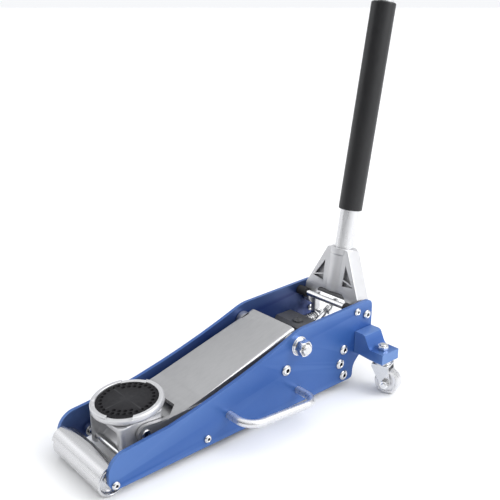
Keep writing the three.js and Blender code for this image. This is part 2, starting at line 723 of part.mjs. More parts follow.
// The grip narrows a little at both ends.
function handleGrip() {
  const { radius, bottom, top } = GRIP;
  const bore = TUBE.radius + GAP;
  return turned([
    [bore, bottom], [radius - 1.6, bottom], [radius, bottom + 3], [radius, top - 3],
    [radius - 1.6, top], [bore, top], [bore, bottom],
  ], 32).rotateX(Math.PI / 2);
}

// Turns the release valve: a plug in the foot of the tube with a shaft down to the pivot.
function valveDrive() {
  return turned([
    [0, 10], [4.5, 10], [4.5, 33], [TUBE.inner - GAP, 36], [TUBE.inner - GAP, 48], [0, 48],
  ], 20).rotateX(Math.PI / 2);
}

function handleCap() {
  const { inner, top } = TUBE;
  return turned([
    [0, top - 14], [inner - GAP, top - 14], [inner - GAP, top - 3], [inner - 2, top - 1.5],
    [0, top - 1.5],
  ], 24).rotateX(Math.PI / 2);
}

function addHandle() {
  add('handle_yoke', handleYoke(), FINISH.casting, handleAxis);
  add('clamp_screw', clampScrew(), FINISH.steel, handleAxis);
  for (const [name, side] of SIDES) {
    add(`pump_follower_${name}`, follower(side), FINISH.steel, handleAxis);
  }
  add('handle_tube', handleTube(), FINISH.casting, handleAxis);
  add('handle_grip', handleGrip(), FINISH.foam, handleAxis);
  add('handle_cap', handleCap(), FINISH.rubber, handleAxis);
  add('valve_drive', valveDrive(), FINISH.steel, handleAxis);
}

// ---------- rear casters ----------

function casterBracket(side) {
  const { front, rear, topZ, bottomZ, reach } = BRACKET;
  const out = (distance) => side * (PLATE.outer + distance);
  const outline = polygon([
    [out(GAP), 57], [out(12), 57], [out(34), bottomZ], [out(reach), bottomZ], [out(reach), topZ],
    [out(33), topZ], [out(29), 76.5], [out(21), 92.5], [out(17), 94.5], [out(GAP), 94.5],
  ]);
  const screwHoles = BRACKET_SCREWS.map(([x, z]) => {
    const [low, high] = [out(-3), out(12)].sort((a, b) => a - b);
    return rodY(SMALL_HOLE, x, z, low, high, 12);
  });
  return cut(
    prismX(outline, front, rear),
    rodZ(6 + GAP, CASTER.x, side * CASTER.y, bottomZ - 5, topZ + 5, 20),
    ...screwHoles,
  );
}

// The fork is drawn with the wheel's heading along +X and the stem on the Z axis.
function casterFork() {
  const { trail, wheelRadius, wheelHalf } = CASTER;
  const legThick = 3;
  const legOuter = wheelHalf + 1 + legThick;
  const leg = new THREE.Shape();
  leg.moveTo(-13, 50);
  leg.lineTo(-13, 44);
  leg.lineTo(trail - 8, wheelRadius - 4);
  leg.absarc(trail, wheelRadius, 8.5, 1.15 * Math.PI, 2 * Math.PI, false);
  leg.lineTo(16, 44);
  leg.lineTo(16, 50);
  const legs = SIDES.map(([, side]) => {
    const [low, high] = [side * (legOuter - legThick), side * legOuter].sort((a, b) => a - b);
    return prismY(leg, low, high, 6);
  });
  const crown = box([-13, -legOuter, 46], [16, legOuter, 50]);
  const race = rodZ(15, 0, 0, 49.5, BRACKET.bottomZ - GAP, 24);
  const stem = rodZ(6, 0, 0, 50, 81.5, 20);
  const axleHole = rodY(BIG_HOLE, trail, wheelRadius, -THROUGH, THROUGH, 16);
  return cut(join(crown, ...legs, race, stem), axleHole);
}

function casterWheel() {
  const { trail, wheelRadius, wheelHalf } = CASTER;
  const edge = 2.2;
  const bore = 4 + GAP;
  return turned([
    [bore, -wheelHalf], [wheelRadius - edge, -wheelHalf], [wheelRadius, -wheelHalf + edge],
    [wheelRadius, wheelHalf - edge], [wheelRadius - edge, wheelHalf], [bore, wheelHalf],
    [bore, -wheelHalf],
  ], 32).translate(trail, 0, wheelRadius);
}

function casterAxle() {
  const { trail, wheelRadius } = CASTER;
  const seat = CASTER.wheelHalf + 4 + GAP;
  return join(
    rodY(4, trail, wheelRadius, -seat - 9, seat + 1, 16),
    rodY(7.4, trail, wheelRadius, -seat - 6.5, -seat, 6),
    rodY(7.4, trail, wheelRadius, seat, seat + 5, 6),
  );
}

function stemNut() {
  const seat = BRACKET.topZ + GAP;
  const nut = rodZ(9, 0, 0, seat, seat + 7, 6);
  return cut(nut, rodZ(6 + GAP, 0, 0, seat - 1, seat + 8, 20));
}

function addCasters() {
  for (const [name, side] of SIDES) {
    add(`caster_bracket_${name}`, casterBracket(side), FINISH.blue);
    const caster = new THREE.Group();
    caster.position.set(CASTER.x, side * CASTER.y, 0);
    caster.rotation.z = side * THREE.MathUtils.degToRad(CASTER.heading);
    jack.add(caster);
    add(`caster_fork_${name}`, casterFork(), FINISH.steel, caster);
    add(`caster_nut_${name}`, stemNut(), FINISH.steel, caster);
    add(`caster_wheel_${name}`, casterWheel(), FINISH.steel, caster);
    add(`caster_axle_${name}`, casterAxle(), FINISH.steel, caster);
  }
}

// ---------- assembly ----------

addChassis();
addFittings();
add('front_roller', frontRoller(), FINISH.silver);
addArm();
addSaddle();
addHydraulics();
addHandle();
addCasters();
jack.position.x = -ORIGIN_X;

export default jack;
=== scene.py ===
"""A low-profile trolley jack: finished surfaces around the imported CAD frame, on a pale studio floor."""

import json
import math

import bmesh
import bpy
from mathutils import Matrix, Vector


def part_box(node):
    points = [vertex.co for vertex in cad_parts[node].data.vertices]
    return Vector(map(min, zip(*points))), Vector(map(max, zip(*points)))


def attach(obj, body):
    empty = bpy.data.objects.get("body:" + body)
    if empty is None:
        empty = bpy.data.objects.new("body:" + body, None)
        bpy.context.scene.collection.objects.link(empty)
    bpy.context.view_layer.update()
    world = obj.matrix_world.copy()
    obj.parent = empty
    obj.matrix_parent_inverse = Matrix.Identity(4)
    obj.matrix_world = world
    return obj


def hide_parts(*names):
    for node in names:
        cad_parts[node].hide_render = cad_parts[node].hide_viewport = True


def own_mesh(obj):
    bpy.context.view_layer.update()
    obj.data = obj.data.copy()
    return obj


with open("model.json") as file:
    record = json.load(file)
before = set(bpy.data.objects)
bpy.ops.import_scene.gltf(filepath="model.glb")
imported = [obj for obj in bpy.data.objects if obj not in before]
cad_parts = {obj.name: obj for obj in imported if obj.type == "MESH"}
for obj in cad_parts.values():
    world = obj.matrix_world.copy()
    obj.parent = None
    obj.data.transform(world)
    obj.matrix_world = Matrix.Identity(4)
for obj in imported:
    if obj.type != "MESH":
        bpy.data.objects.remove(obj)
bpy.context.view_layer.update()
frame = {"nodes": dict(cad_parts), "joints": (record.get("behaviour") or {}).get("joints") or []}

# ---------- measures ----------
# Millimetres, from the front edge of the side plates, the plane between them and the floor.
# X runs to the rear and Z is up; the left-hand side, where the carry handle stands, is -Y.

PLATE_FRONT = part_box("side_plate_left")[0].x
TO_ROW = Matrix.Translation((PLATE_FRONT, 0, 0)) @ Matrix.Scale(0.001, 4)
TO_MM = TO_ROW.inverted()
JOINTS = {joint["name"]: joint for joint in frame["joints"]}
SIDES = (("left", -1), ("right", 1))
# Sides of small and of large turned pieces, and the angle in degrees from which an edge stays sharp.
ROUND, FINE, CREASE = 72, 120, 38
# The gap under a screw head, and how far a cutter reaches to both sides of the middle.
SEAT_GAP, THROUGH = 0.05, 80


def span(node):
    """The lowest and highest corner of a CAD node."""
    low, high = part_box(node)
    return TO_MM @ low, TO_MM @ high


def middle(node):
    low, high = span(node)
    return (low + high) / 2


def pivot(joint):
    return TO_MM @ Vector(JOINTS[joint]["pos_m"])


ROLLER = pivot("roller_spin")
MAIN = pivot("arm_lift")
NOSE = pivot("head_level")
HEAD_PIN = middle("head_pin")
SADDLE = pivot("saddle_swivel")
YOKE = pivot("pump_stroke")
PLATE_OUTER = -span("side_plate_left")[0].y
PLATE_INNER = -span("side_plate_left")[1].y


def lean_of(joint):
    axis = Vector(JOINTS[joint]["axis"])
    return math.atan2(axis.x, axis.z)


HANDLE_FRAME = Matrix.Translation(YOKE) @ Matrix.Rotation(lean_of("handle_twist"), 4, "Y")
SADDLE_FRAME = Matrix.Translation(SADDLE) @ Matrix.Rotation(lean_of("saddle_swivel"), 4, "Y")

# ---------- camera, floor and light ----------

CAMERA_PLACE = (-372.28, -765.13, 600.9)
CAMERA_TILT, CAMERA_TURN = 71.072, -41.079
CAMERA_LENS, CAMERA_SENSOR = 52.44, 36
KEY_PLACE, KEY_TARGET, KEY_SIZE, KEY_POWER = (1.1, -1.7, 1.5), (0.05, 0, 0.15), 0.9, 14
SKY_BASE = 0.36
# Each card's direction, the cosines at which it starts and is full, and what it adds to the sky:
# overhead, left rear, right rear, high left rear, front right, and a dark one at the front.
SKY_CARDS = (
    ((0, 0, 1), 0.25, 1.0, 0.95),
    ((0.45, -0.85, 0.15), 0.45, 0.95, 0.75),
    ((0.66, 0.75, -0.1), 0.8, 0.94, 0.6),
    ((0.45, -0.43, 0.75), 0.86, 0.97, 1.4),
    ((-0.5, 0.8, 0.35), 0.86, 0.97, 0.9),
    ((-1.0, 0.12, 0.05), 0.6, 0.95, -0.24),
)


def add_camera():
    camera = bpy.data.cameras.new("camera")
    camera.sensor_width = CAMERA_SENSOR
    camera.lens = CAMERA_LENS
    camera.clip_start = 0.05
    camera.clip_end = 60
    holder = bpy.data.objects.new("camera", camera)
    holder.location = TO_ROW @ Vector(CAMERA_PLACE)
    holder.rotation_euler = (math.radians(CAMERA_TILT), 0, math.radians(CAMERA_TURN))
    bpy.context.scene.collection.objects.link(holder)
    bpy.context.scene.camera = holder


def add_key_light():
    light = bpy.data.lights.new("key", "AREA")
    light.shape = "RECTANGLE"
    light.size, light.size_y = KEY_SIZE, KEY_SIZE
    light.energy = KEY_POWER
    holder = bpy.data.objects.new("key", light)
    holder.location = KEY_PLACE
    aim = Vector(KEY_TARGET) - Vector(KEY_PLACE)
    holder.rotation_euler = aim.to_track_quat("-Z", "Y").to_euler()
    bpy.context.scene.collection.objects.link(holder)


def sky_card(tree, facing, direction, start, end, strength):
    """Adds brightness to the sky towards a direction: none at the cosine start, all of it at end."""
    dot = tree.nodes.new("ShaderNodeVectorMath")
    dot.operation = "DOT_PRODUCT"
    dot.inputs[1].default_value = Vector(direction).normalized()
    tree.links.new(facing, dot.inputs[0])
    ramp = tree.nodes.new("ShaderNodeMapRange")
    ramp.interpolation_type = "SMOOTHSTEP"
    ramp.inputs["From Min"].default_value = start
    ramp.inputs["From Max"].default_value = end
    ramp.inputs["To Max"].default_value = strength
    tree.links.new(dot.outputs["Value"], ramp.inputs["Value"])
    return ramp.outputs["Result"]


def add_sky():
    """A white studio whose sky is the sum of a base level and the cards."""
    world = bpy.data.worlds.new("studio")
    world.use_nodes = True
    tree = world.node_tree
    background = tree.nodes["Background"]
    background.inputs["Color"].default_value = (0.97, 0.98, 1, 1)
    facing = tree.nodes.new("ShaderNodeTexCoord").outputs["Generated"]
    total = SKY_BASE
    for card in SKY_CARDS:
        add = tree.nodes.new("ShaderNodeMath")
        tree.links.new(sky_card(tree, facing, *card), add.inputs[0])
        if isinstance(total, float):
            add.inputs[1].default_value = total
        else:
            tree.links.new(total, add.inputs[1])
        total = add.outputs[0]
    tree.links.new(total, background.inputs["Strength"])
    bpy.context.scene.world = world


def add_studio():
    half = 60
    mesh = bpy.data.meshes.new("studio_floor")
    corners = [(-half, -half, 0), (half, -half, 0), (half, half, 0), (-half, half, 0)]
    mesh.from_pydata(corners, [], [(0, 1, 2, 3)])
    floor = bpy.data.objects.new("studio_floor", mesh)
    bpy.context.scene.collection.objects.link(floor)
    paper = bpy.data.materials.new("studio_paper")
    paper.use_nodes = True
    shader = paper.node_tree.nodes["Principled BSDF"]
    shader.inputs["Base Color"].default_value = (0.95, 0.95, 0.95, 1)
    shader.inputs["Roughness"].default_value = 0.9
    mesh.materials.append(paper)
    add_sky()
    bpy.context.scene.view_settings.view_transform = "Standard"
    add_key_light()


# ---------- materials ----------


class Look:
    """A Principled material whose colour, roughness and relief come from procedural noise."""

    def __init__(self, name, roughness, metallic=0.0, **uniform):
        self.material = bpy.data.materials.new(name)
        self.material.use_nodes = True
        self.tree = self.material.node_tree
        self.shader = self.tree.nodes["Principled BSDF"]
        self.shader.inputs["Metallic"].default_value = metallic
        self.shader.inputs["Roughness"].default_value = roughness
        for socket, value in uniform.items():
            self.shader.inputs[socket.replace("_", " ")].default_value = value
        self.place = self.tree.nodes.new("ShaderNodeTexCoord").outputs["Object"]
        self.relief = None

    def link(self, source, target):
        self.tree.links.new(source, target)

    def stretched(self, scale):
        mapping = self.tree.nodes.new("ShaderNodeMapping")
        mapping.inputs["Scale"].default_value = scale
        self.link(self.place, mapping.inputs["Vector"])
        return mapping.outputs["Vector"]

    def noise(self, scale, detail=3.0, stretch=(1, 1, 1)):
        texture = self.tree.nodes.new("ShaderNodeTexNoise")
        texture.inputs["Scale"].default_value = scale
        texture.inputs["Detail"].default_value = detail
        self.link(self.stretched(stretch), texture.inputs["Vector"])
        return texture.outputs["Fac"]

    def cells(self, scale):
        texture = self.tree.nodes.new("ShaderNodeTexVoronoi")
        texture.inputs["Scale"].default_value = scale
        self.link(self.place, texture.inputs["Vector"])
        return texture.outputs["Distance"]

    def ranged(self, value, low, high, start=0.3, end=0.7):
        node = self.tree.nodes.new("ShaderNodeMapRange")
        node.inputs["From Min"].default_value = start
        node.inputs["From Max"].default_value = end
        node.inputs["To Min"].default_value = low
        node.inputs["To Max"].default_value = high
        self.link(value, node.inputs["Value"])
        return node.outputs["Result"]

    def between(self, axis, low, high):
        """1 where the surface lies between two distances in mm along an axis, and 0 elsewhere."""
        split = self.tree.nodes.new("ShaderNodeSeparateXYZ")
        self.link(self.place, split.inputs["Vector"])
        middle, half = (low + high) / 2000, (high - low) / 2000
        node = self.tree.nodes.new("ShaderNodeMath")
        node.operation = "COMPARE"
        node.inputs[1].default_value = middle
        node.inputs[2].default_value = half
        self.link(split.outputs[axis], node.inputs[0])
        return node.outputs["Value"]

    def edge_wear_and_highlight(self, start=0.52, end=0.6):
        """1 on outer edges and 0 on flat faces: a mask for edge wear and painted edge highlights."""
        geometry = self.tree.nodes.new("ShaderNodeNewGeometry")
        return self.ranged(geometry.outputs["Pointiness"], 0, 1, start, end)

    def crease_shade(self):
        """1 in creases and recesses and 0 on flat faces: a mask for painted shade."""
        geometry = self.tree.nodes.new("ShaderNodeNewGeometry")
        return self.ranged(geometry.outputs["Pointiness"], 1, 0, 0.4, 0.48)

    def mixed(self, factor, first, second):
        node = self.tree.nodes.new("ShaderNodeMix")
        node.data_type = "RGBA"
        self.link(factor, node.inputs[0])
        for socket, value in ((node.inputs[6], first), (node.inputs[7], second)):
            if isinstance(value, tuple):
                socket.default_value = (*value, 1)
            else:
                self.link(value, socket)
        return node.outputs[2]

    def colour(self, source):
        self.link(source, self.shader.inputs["Base Color"])
        return self

    def rough(self, value, low, high):
        self.link(self.ranged(value, low, high), self.shader.inputs["Roughness"])
        return self

    def bump(self, value, strength, depth):
        node = self.tree.nodes.new("ShaderNodeBump")
        node.inputs["Strength"].default_value = strength
        node.inputs["Distance"].default_value = depth
        self.link(value, node.inputs["Height"])
        if self.relief is not None:
            self.link(self.relief, node.inputs["Normal"])
        self.relief = node.outputs["Normal"]
        self.link(self.relief, self.shader.inputs["Normal"])
        return self


def blue_anodised():
    """Anodised aluminium, with painted shade that makes the inner faces of the plates duller and darker,
    and painted highlights on the plate edges.
    """
    look = Look("blue_anodised", 0.36, 0.35, Coat_Weight=0.12, Coat_Roughness=0.22)
    outer = look.mixed(look.noise(7, 2), (0.017, 0.083, 0.315), (0.025, 0.104, 0.36))
    # painted shade: a darker blue on the inner faces of the plates, picked by the mask between the plates
    inner = look.mixed(look.noise(9, 2), (0.006, 0.024, 0.14), (0.01, 0.033, 0.18))
    tone = look.mixed(look.between("Y", -PLATE_INNER - 0.4, PLATE_INNER + 0.4), outer, inner)
    # painted highlight: a lighter blue on the outer edges of the plates
    look.colour(look.mixed(look.edge_wear_and_highlight(0.53, 0.62), tone, (0.26, 0.43, 0.76)))
    look.rough(look.noise(60, 4), 0.32, 0.42)
    return look.bump(look.noise(900, 3), 0.12, 0.0002)


def satin_sheet():
    """Rolled aluminium sheet with a fine lengthwise grain."""
    look = Look("satin_sheet", 0.34, 0.85)
    grain = look.noise(260, 4, (0.06, 1, 1))
    tone = look.mixed(look.noise(12, 3), (0.4, 0.4, 0.405), (0.47, 0.47, 0.475))
    look.colour(look.mixed(look.ranged(grain, 0, 0.35), tone, (0.54, 0.54, 0.54)))
    look.rough(grain, 0.28, 0.42)
    return look.bump(grain, 0.1, 0.0001)


def cross_grain():
    """Aluminium sheet and tube with its grain across the jack."""
    look = Look("cross_grain", 0.26, 0.95)
    grain = look.noise(280, 4, (1, 0.05, 1))
    tone = look.mixed(look.noise(9, 3), (0.56, 0.56, 0.57), (0.64, 0.64, 0.65))
    look.colour(look.mixed(look.ranged(grain, 0, 0.3), tone, (0.72, 0.72, 0.72)))
    look.rough(grain, 0.2, 0.3)
    return look.bump(grain, 0.08, 0.0001)


def cast_metal():
    look = Look("cast_metal", 0.4, 0.75, Coat_Weight=0.2, Coat_Roughness=0.25)
    tone = look.mixed(look.noise(30, 5), (0.6, 0.6, 0.61), (0.71, 0.71, 0.72))
    # painted shade: a darker grey in creases, recesses and the pockets of the castings
    tone = look.mixed(look.crease_shade(), tone, (0.3, 0.3, 0.31))
    look.colour(look.mixed(look.edge_wear_and_highlight(), tone, (0.88, 0.88, 0.89)))
    look.rough(look.noise(120, 4), 0.34, 0.5)
    return look.bump(look.noise(700, 4), 0.14, 0.0002)


def drawn_tube():
    look = Look("drawn_tube", 0.3, 0.85)
    grain = look.noise(300, 3, (1, 1, 0.04))
    look.colour(look.mixed(grain, (0.66, 0.66, 0.67), (0.78, 0.78, 0.79)))
    look.rough(grain, 0.24, 0.36)
    return look.bump(grain, 0.06, 0.0001)


def zinc_plate():
    look = Look("zinc_plate", 0.2, 1.0)
    tone = look.mixed(look.noise(90, 4), (0.55, 0.56, 0.57), (0.68, 0.68, 0.68))
    # painted shade: near black in creases and recesses, such as screw sockets
    tone = look.mixed(look.crease_shade(), tone, (0.1, 0.1, 0.11))
    look.colour(look.mixed(look.edge_wear_and_highlight(), tone, (0.85, 0.85, 0.85)))
    look.rough(look.noise(200, 4), 0.14, 0.28)
    return look.bump(look.noise(500, 3), 0.08, 0.0001)


def dark_paint():
    look = Look("dark_paint", 0.45, 0.3, Coat_Weight=0.15, Coat_Roughness=0.3)
    tone = look.mixed(look.noise(25, 4), (0.055, 0.056, 0.06), (0.085, 0.086, 0.09))
    look.colour(look.mixed(look.edge_wear_and_highlight(), tone, (0.22, 0.22, 0.225)))
    look.rough(look.noise(80, 4), 0.38, 0.55)
    return look.bump(look.noise(260, 4), 0.3, 0.0005)


def black_rubber():
    look = Look("black_rubber", 0.6, 0.0, Specular_IOR_Level=0.2)
    tone = look.mixed(look.noise(40, 4), (0.006, 0.006, 0.007), (0.011, 0.01, 0.012))
    look.colour(look.mixed(look.edge_wear_and_highlight(0.5, 0.58), tone, (0.04, 0.04, 0.043)))
    look.rough(look.noise(150, 4), 0.6, 0.8)
    return look.bump(look.cells(900), 0.18, 0.0003)


def black_foam():
    look = Look("black_foam", 0.42, 0.0)
    tone = look.mixed(look.noise(60, 4), (0.006, 0.006, 0.007), (0.012, 0.012, 0.013))
    look.colour(tone)
    look.rough(look.noise(220, 4), 0.32, 0.46)
    look.bump(look.cells(1500), 0.16, 0.0003)
    return look.bump(look.noise(35, 2), 0.1, 0.0012)


# ---------- solids ----------


def as_object(mesh_data, frame_matrix=None):
    """Turns a bmesh into an object to work on, its faces pointing out."""
    bmesh.ops.recalc_face_normals(mesh_data, faces=mesh_data.faces)
    if frame_matrix is not None:
        mesh_data.transform(frame_matrix)
    mesh = bpy.data.meshes.new("solid")
    mesh_data.to_mesh(mesh)
    mesh_data.free()
    solid = bpy.data.objects.new("solid", mesh)
    bpy.context.scene.collection.objects.link(solid)
    return solid


def settle(solid):
    """Applies the modifiers."""
    graph = bpy.context.evaluated_depsgraph_get()
    mesh = bpy.data.meshes.new_from_object(solid.evaluated_get(graph))
    solid.modifiers.clear()
    old = solid.data
    solid.data = mesh
    bpy.data.meshes.remove(old)
    return solid


def combined(operation, solid, tools):
    for tool in tools:
        modifier = solid.modifiers.new("combine", "BOOLEAN")
        modifier.operation = operation
        modifier.solver = "EXACT"
        modifier.object = tool
    settle(solid)
    for tool in tools:
        mesh = tool.data
        bpy.data.objects.remove(tool)
        bpy.data.meshes.remove(mesh)
    return solid


def join(solid, *tools):
    return combined("UNION", solid, tools)


def cut(solid, *tools):
    return combined("DIFFERENCE", solid, tools)


def common(solid, *tools):
    return combined("INTERSECT", solid, tools)


def soften(solid, width, segments=3, angle=32):
    """Rounds the edges that turn by more than angle."""
    modifier = solid.modifiers.new("soften", "BEVEL")
    modifier.width = width
    modifier.segments = segments
    modifier.limit_method = "ANGLE"
    modifier.angle_limit = math.radians(angle)
    return settle(solid)


def cast(solid, grain, passes, keep):
    """Gives a joined solid the soft fillets of a casting."""
    skin = solid.modifiers.new("skin", "REMESH")
    skin.mode = "VOXEL"
    skin.voxel_size = grain
    smooth = solid.modifiers.new("fillet", "SMOOTH")
    smooth.factor = 0.5
    smooth.iterations = passes
    thin = solid.modifiers.new("thin", "DECIMATE")
    thin.ratio = keep
    return settle(solid)


def bridge(mesh_data, first, second):
    count = len(first)
    for i in range(count):
        mesh_data.faces.new((first[i], first[(i + 1) % count], second[(i + 1) % count], second[i]))


def prism(outline, low, high, axis="Y", rounded=(), radius=0, place=None):
    """Carries an outline along an axis: (x, z) along Y, (y, z) along X or (x, y) along Z.
    The edges whose two ends both have their index in rounded get that radius on both faces."""
    lift = {
        "Y": lambda a, b, h: (a, h, b),
        "X": lambda a, b, h: (h, a, b),
        "Z": lambda a, b, h: (a, b, h),
    }[axis]
    made = bmesh.new()
    ends = [[made.verts.new(lift(a, b, h)) for a, b in outline] for h in (low, high)]
    made.faces.new(ends[0])
    made.faces.new(ends[1])
    bridge(made, *ends)
    if rounded:
        marked = set(rounded)
        pairs = [(i, i + 1) for i in marked if i + 1 in marked]
        edges = [made.edges.get((end[a], end[b])) for end in ends for a, b in pairs]
        bmesh.ops.bevel(
            made, geom=edges, offset=radius, segments=7, profile=0.5, affect="EDGES", clamp_overlap=False
        )
    return as_object(made, place)


def block(low, high, place=None):
    (x1, y1, z1), (x2, y2, z2) = low, high
    return prism([(x1, y1), (x2, y1), (x2, y2), (x1, y2)], z1, z2, "Z", place=place)


def turned(profile, segments=ROUND, place=None):
    """Turns (radius, height) pairs about Z: from axis to axis, or a closed ring."""
    made = bmesh.new()
    rings = []
    turns = [2 * math.pi * k / segments for k in range(segments)]
    for radius, height in profile:
        if radius < 1e-6:
            rings.append([made.verts.new((0, 0, height))])
            continue
        spots = [(radius * math.cos(t), radius * math.sin(t), height) for t in turns]
        rings.append([made.verts.new(spot) for spot in spots])
    pairs = list(zip(rings, rings[1:]))
    if len(rings[0]) > 1:
        pairs.append((rings[-1], rings[0]))
    for first, second in pairs:
        for k in range(segments):
            corners = [first[k % len(first)], first[(k + 1) % len(first)]]
            corners += [second[(k + 1) % len(second)], second[k % len(second)]]
            corners = list(dict.fromkeys(corners))
            if len(corners) > 2:
                made.faces.new(corners)
    return as_object(made, place)


def along_y(x, z, side=1, start=0.0):
    """A frame whose Z points to the outside on that side, from the plane Y = side * start."""
    turn = Matrix.Rotation(math.radians(-90 * side), 4, "X")
    return Matrix.Translation((x, side * start, z)) @ turn


def along_x(y, z, start=0.0):
    return Matrix.Translation((start, y, z)) @ Matrix.Rotation(math.radians(90), 4, "Y")


def rod(radius, low, high, place=None, segments=ROUND, chamfer=0.0):
    profile = [(0, low), (radius - chamfer, low), (radius, low + chamfer)]
    profile += [(radius, high - chamfer), (radius - chamfer, high), (0, high)]
    if chamfer == 0:
        profile = [(0, low), (radius, low), (radius, high), (0, high)]
    return turned(profile, segments, place)


def arc(x, z, radius, start, end, steps=24):
    """Points of an arc, its angles in degrees."""
    angles = [math.radians(start + (end - start) * i / steps) for i in range(steps + 1)]
    return [(x + radius * math.cos(a), z + radius * math.sin(a)) for a in angles]


def curve(first, control, last, steps=20):
    """Points of a quadratic curve."""
    points = []
    corners = (first, control, last)
    for i in range(steps + 1):
        t = i / steps
        shares = ((1 - t) ** 2, 2 * t * (1 - t), t * t)
        points.append(tuple(sum(s * p[k] for s, p in zip(shares, corners)) for k in (0, 1)))
    return points


def capsule(x1, z1, x2, z2, radius):
    """The outline of a slot with round ends."""
    along = math.degrees(math.atan2(z2 - z1, x2 - x1))
    near = arc(x1, z1, radius, along + 90, along + 270, 20)
    far = arc(x2, z2, radius, along - 90, along + 90, 20)
    return near + far


def hexagon(radius, low, high, place, chamfer, bore=0.0):
    """A hexagon nut or bolt head, its corners chamfered at both ends."""
    corners = arc(0, 0, radius, 0, 300, 5)
    solid = prism(corners, low, high, "Z", place=place)
    inner = radius * 0.9
    profile = [(0, low), (inner, low), (radius + 0.01, low + chamfer)]
    profile += [(radius + 0.01, high - chamfer), (inner, high), (0, high)]
    solid = common(solid, turned(profile, ROUND, place))
    if bore:
        solid = cut(solid, rod(bore, low - 1, high + 1, place))
    return solid


def piece(name, solid, look, body, slot, *nodes):
    """Names a finished solid, brings it to metres and hangs it on its body."""
    solid.name = name
    solid.data.name = name
    solid.data.transform(TO_ROW)
    solid.data.materials.clear()
    solid.data.materials.append(look.material)
    solid.data.shade_smooth()
    solid.data.set_sharp_from_angle(angle=math.radians(CREASE))
    solid.modifiers.new("shading", "WEIGHTED_NORMAL").keep_sharp = True
    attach(solid, body)
    if nodes:
        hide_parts(*nodes)
    return solid


def dress(node, look, edge):
    """Finishes a CAD node that keeps its shape: softened edges and its material."""
    shown = frame["nodes"][node]
    shown.data.materials.clear()
    shown.data.materials.append(look.material)
    shown.data.shade_smooth()
    weld = shown.modifiers.new("weld", "WELD")
    weld.merge_threshold = 1e-6
    flat = shown.modifiers.new("flat", "DECIMATE")
    flat.decimate_type = "DISSOLVE"
    flat.angle_limit = math.radians(0.5)
    soft = shown.modifiers.new("soft", "BEVEL")
    soft.width = edge / 1000
    soft.segments = 2
    soft.limit_method = "ANGLE"
    soft.angle_limit = math.radians(32)
    shown.modifiers.new("shading", "WEIGHTED_NORMAL")


# ---------- fasteners ----------

# Radius and height of two kinds of screw head, and the places of the screws of a caster bracket.
STOP_SCREW, BRACKET_SCREW = (6.6, 4.2), (5.6, 3.8)
BRACKET_SCREW_PLACES = ((490, 86), (490, 66), (472, 68))
PIVOT_RADIUS, PIVOT_BORE = 8, 8.3


def dome_head(radius, height, place):
    """A low domed head with a hexagon socket; its seat is at height 0."""
    rim, edge, socket, flare = 0.3 * height, 0.4, 0.42 * radius, 1.4
    dome = [
        (radius * math.cos(a), rim + (height - rim) * math.sin(a))
        for a in (math.radians(90 * i / 10) for i in range(10))
    ]
    head = turned([(0, 0), (radius - edge, 0), (radius, edge), *dome, (0, height)], ROUND, place)
    recess = prism(arc(0, 0, socket, 0, 300, 5), 0.35 * height, height + 2, "Z", place=place)
    low, high = height - 0.9, height + 0.5
    lead = turned([(0, low), (socket, low), (socket + flare, high), (0, high)], ROUND, place)
    return cut(head, recess, lead)


def plate_screw(name, node, side, look):
    """A screw on the outer face of a side plate, with its shank hidden inside the plate."""
    low, high = span(node)
    x, _, z = middle(node)
    reach = max(abs(low.y), abs(high.y))
    seat = PLATE_OUTER + SEAT_GAP
    place = along_y(x, z, side, seat)
    radius = (high.x - low.x) / 2
    solid = dome_head(radius, reach - seat, place)
    piece(name, solid, look, "chassis", "bright_steel", node)


def inner_screw(name, x, z, side, look):
    """A small screw on the inner face of a side plate: its head points to the middle."""
    place = along_y(x, z, -side, -PLATE_INNER + SEAT_GAP)
    piece(name, dome_head(*BRACKET_SCREW, place), look, "chassis", "bright_steel")


def add_fasteners(looks):
    steel = looks["steel"]
    kinds = ["front_axle_screw", "tie_rod_screw", "link_bolt", "yoke_bolt"]
    for name, side in SIDES:
        nodes = [f"{kind}_{name}" for kind in kinds]
        nodes += [f"block_screw_{name}_{i}" for i in (1, 2, 3)]
        for node in nodes:
            plate_screw(node + "_head", node, side, steel)
        stop = middle("stop_bar")
        head = dome_head(*STOP_SCREW, along_y(stop.x, stop.z, side, PLATE_OUTER + SEAT_GAP))
        piece(f"stop_bar_screw_{name}", head, steel, "chassis", "bright_steel")
        for i, (x, z) in enumerate(BRACKET_SCREW_PLACES):
            inner_screw(f"bracket_screw_{name}_{i + 1}", x, z, side, steel)
    add_main_pivot(steel)


def add_main_pivot(steel):
    """The main pivot bolt: a hexagon head on the right, a washer and a flanged nut on the left."""
    head_radius, nut_radius, flange_radius, washer_radius = 13.3, 13, 13.9, 15.2
    left = along_y(MAIN.x, MAIN.z, -1)
    low, high = span("main_pivot_bolt")
    shank = rod(PIVOT_RADIUS, -high.y + 4, -low.y, left, chamfer=1.2)
    head = hexagon(head_radius, PLATE_OUTER + 0.4, high.y, along_y(MAIN.x, MAIN.z, 1), 1.4)
    piece("main_pivot_shank", join(shank, head), steel, "chassis", "bright_steel", "main_pivot_bolt")
    nut_low, nut_high = span("main_pivot_nut")
    seat, top = -nut_high.y, -nut_low.y
    nut = hexagon(nut_radius, seat, top, left, 1.5, bore=PIVOT_RADIUS + 0.2)
    flange = [
        (PIVOT_BORE, seat), (flange_radius, seat), (flange_radius, seat + 1.6),
        (flange_radius - 1.5, seat + 3), (PIVOT_BORE, seat + 3),
    ]
    nut = join(nut, turned(flange, ROUND, left))
    piece("main_pivot_flange_nut", nut, steel, "chassis", "bright_steel", "main_pivot_nut")
    face = PLATE_OUTER + SEAT_GAP
    ring = [
        (PIVOT_BORE, face), (washer_radius, face), (washer_radius, seat - 0.5),
        (washer_radius - 0.4, seat - 0.1), (PIVOT_BORE, seat - 0.1),
    ]
    piece("main_pivot_washer", turned(ring, ROUND, left), steel, "chassis", "bright_steel")


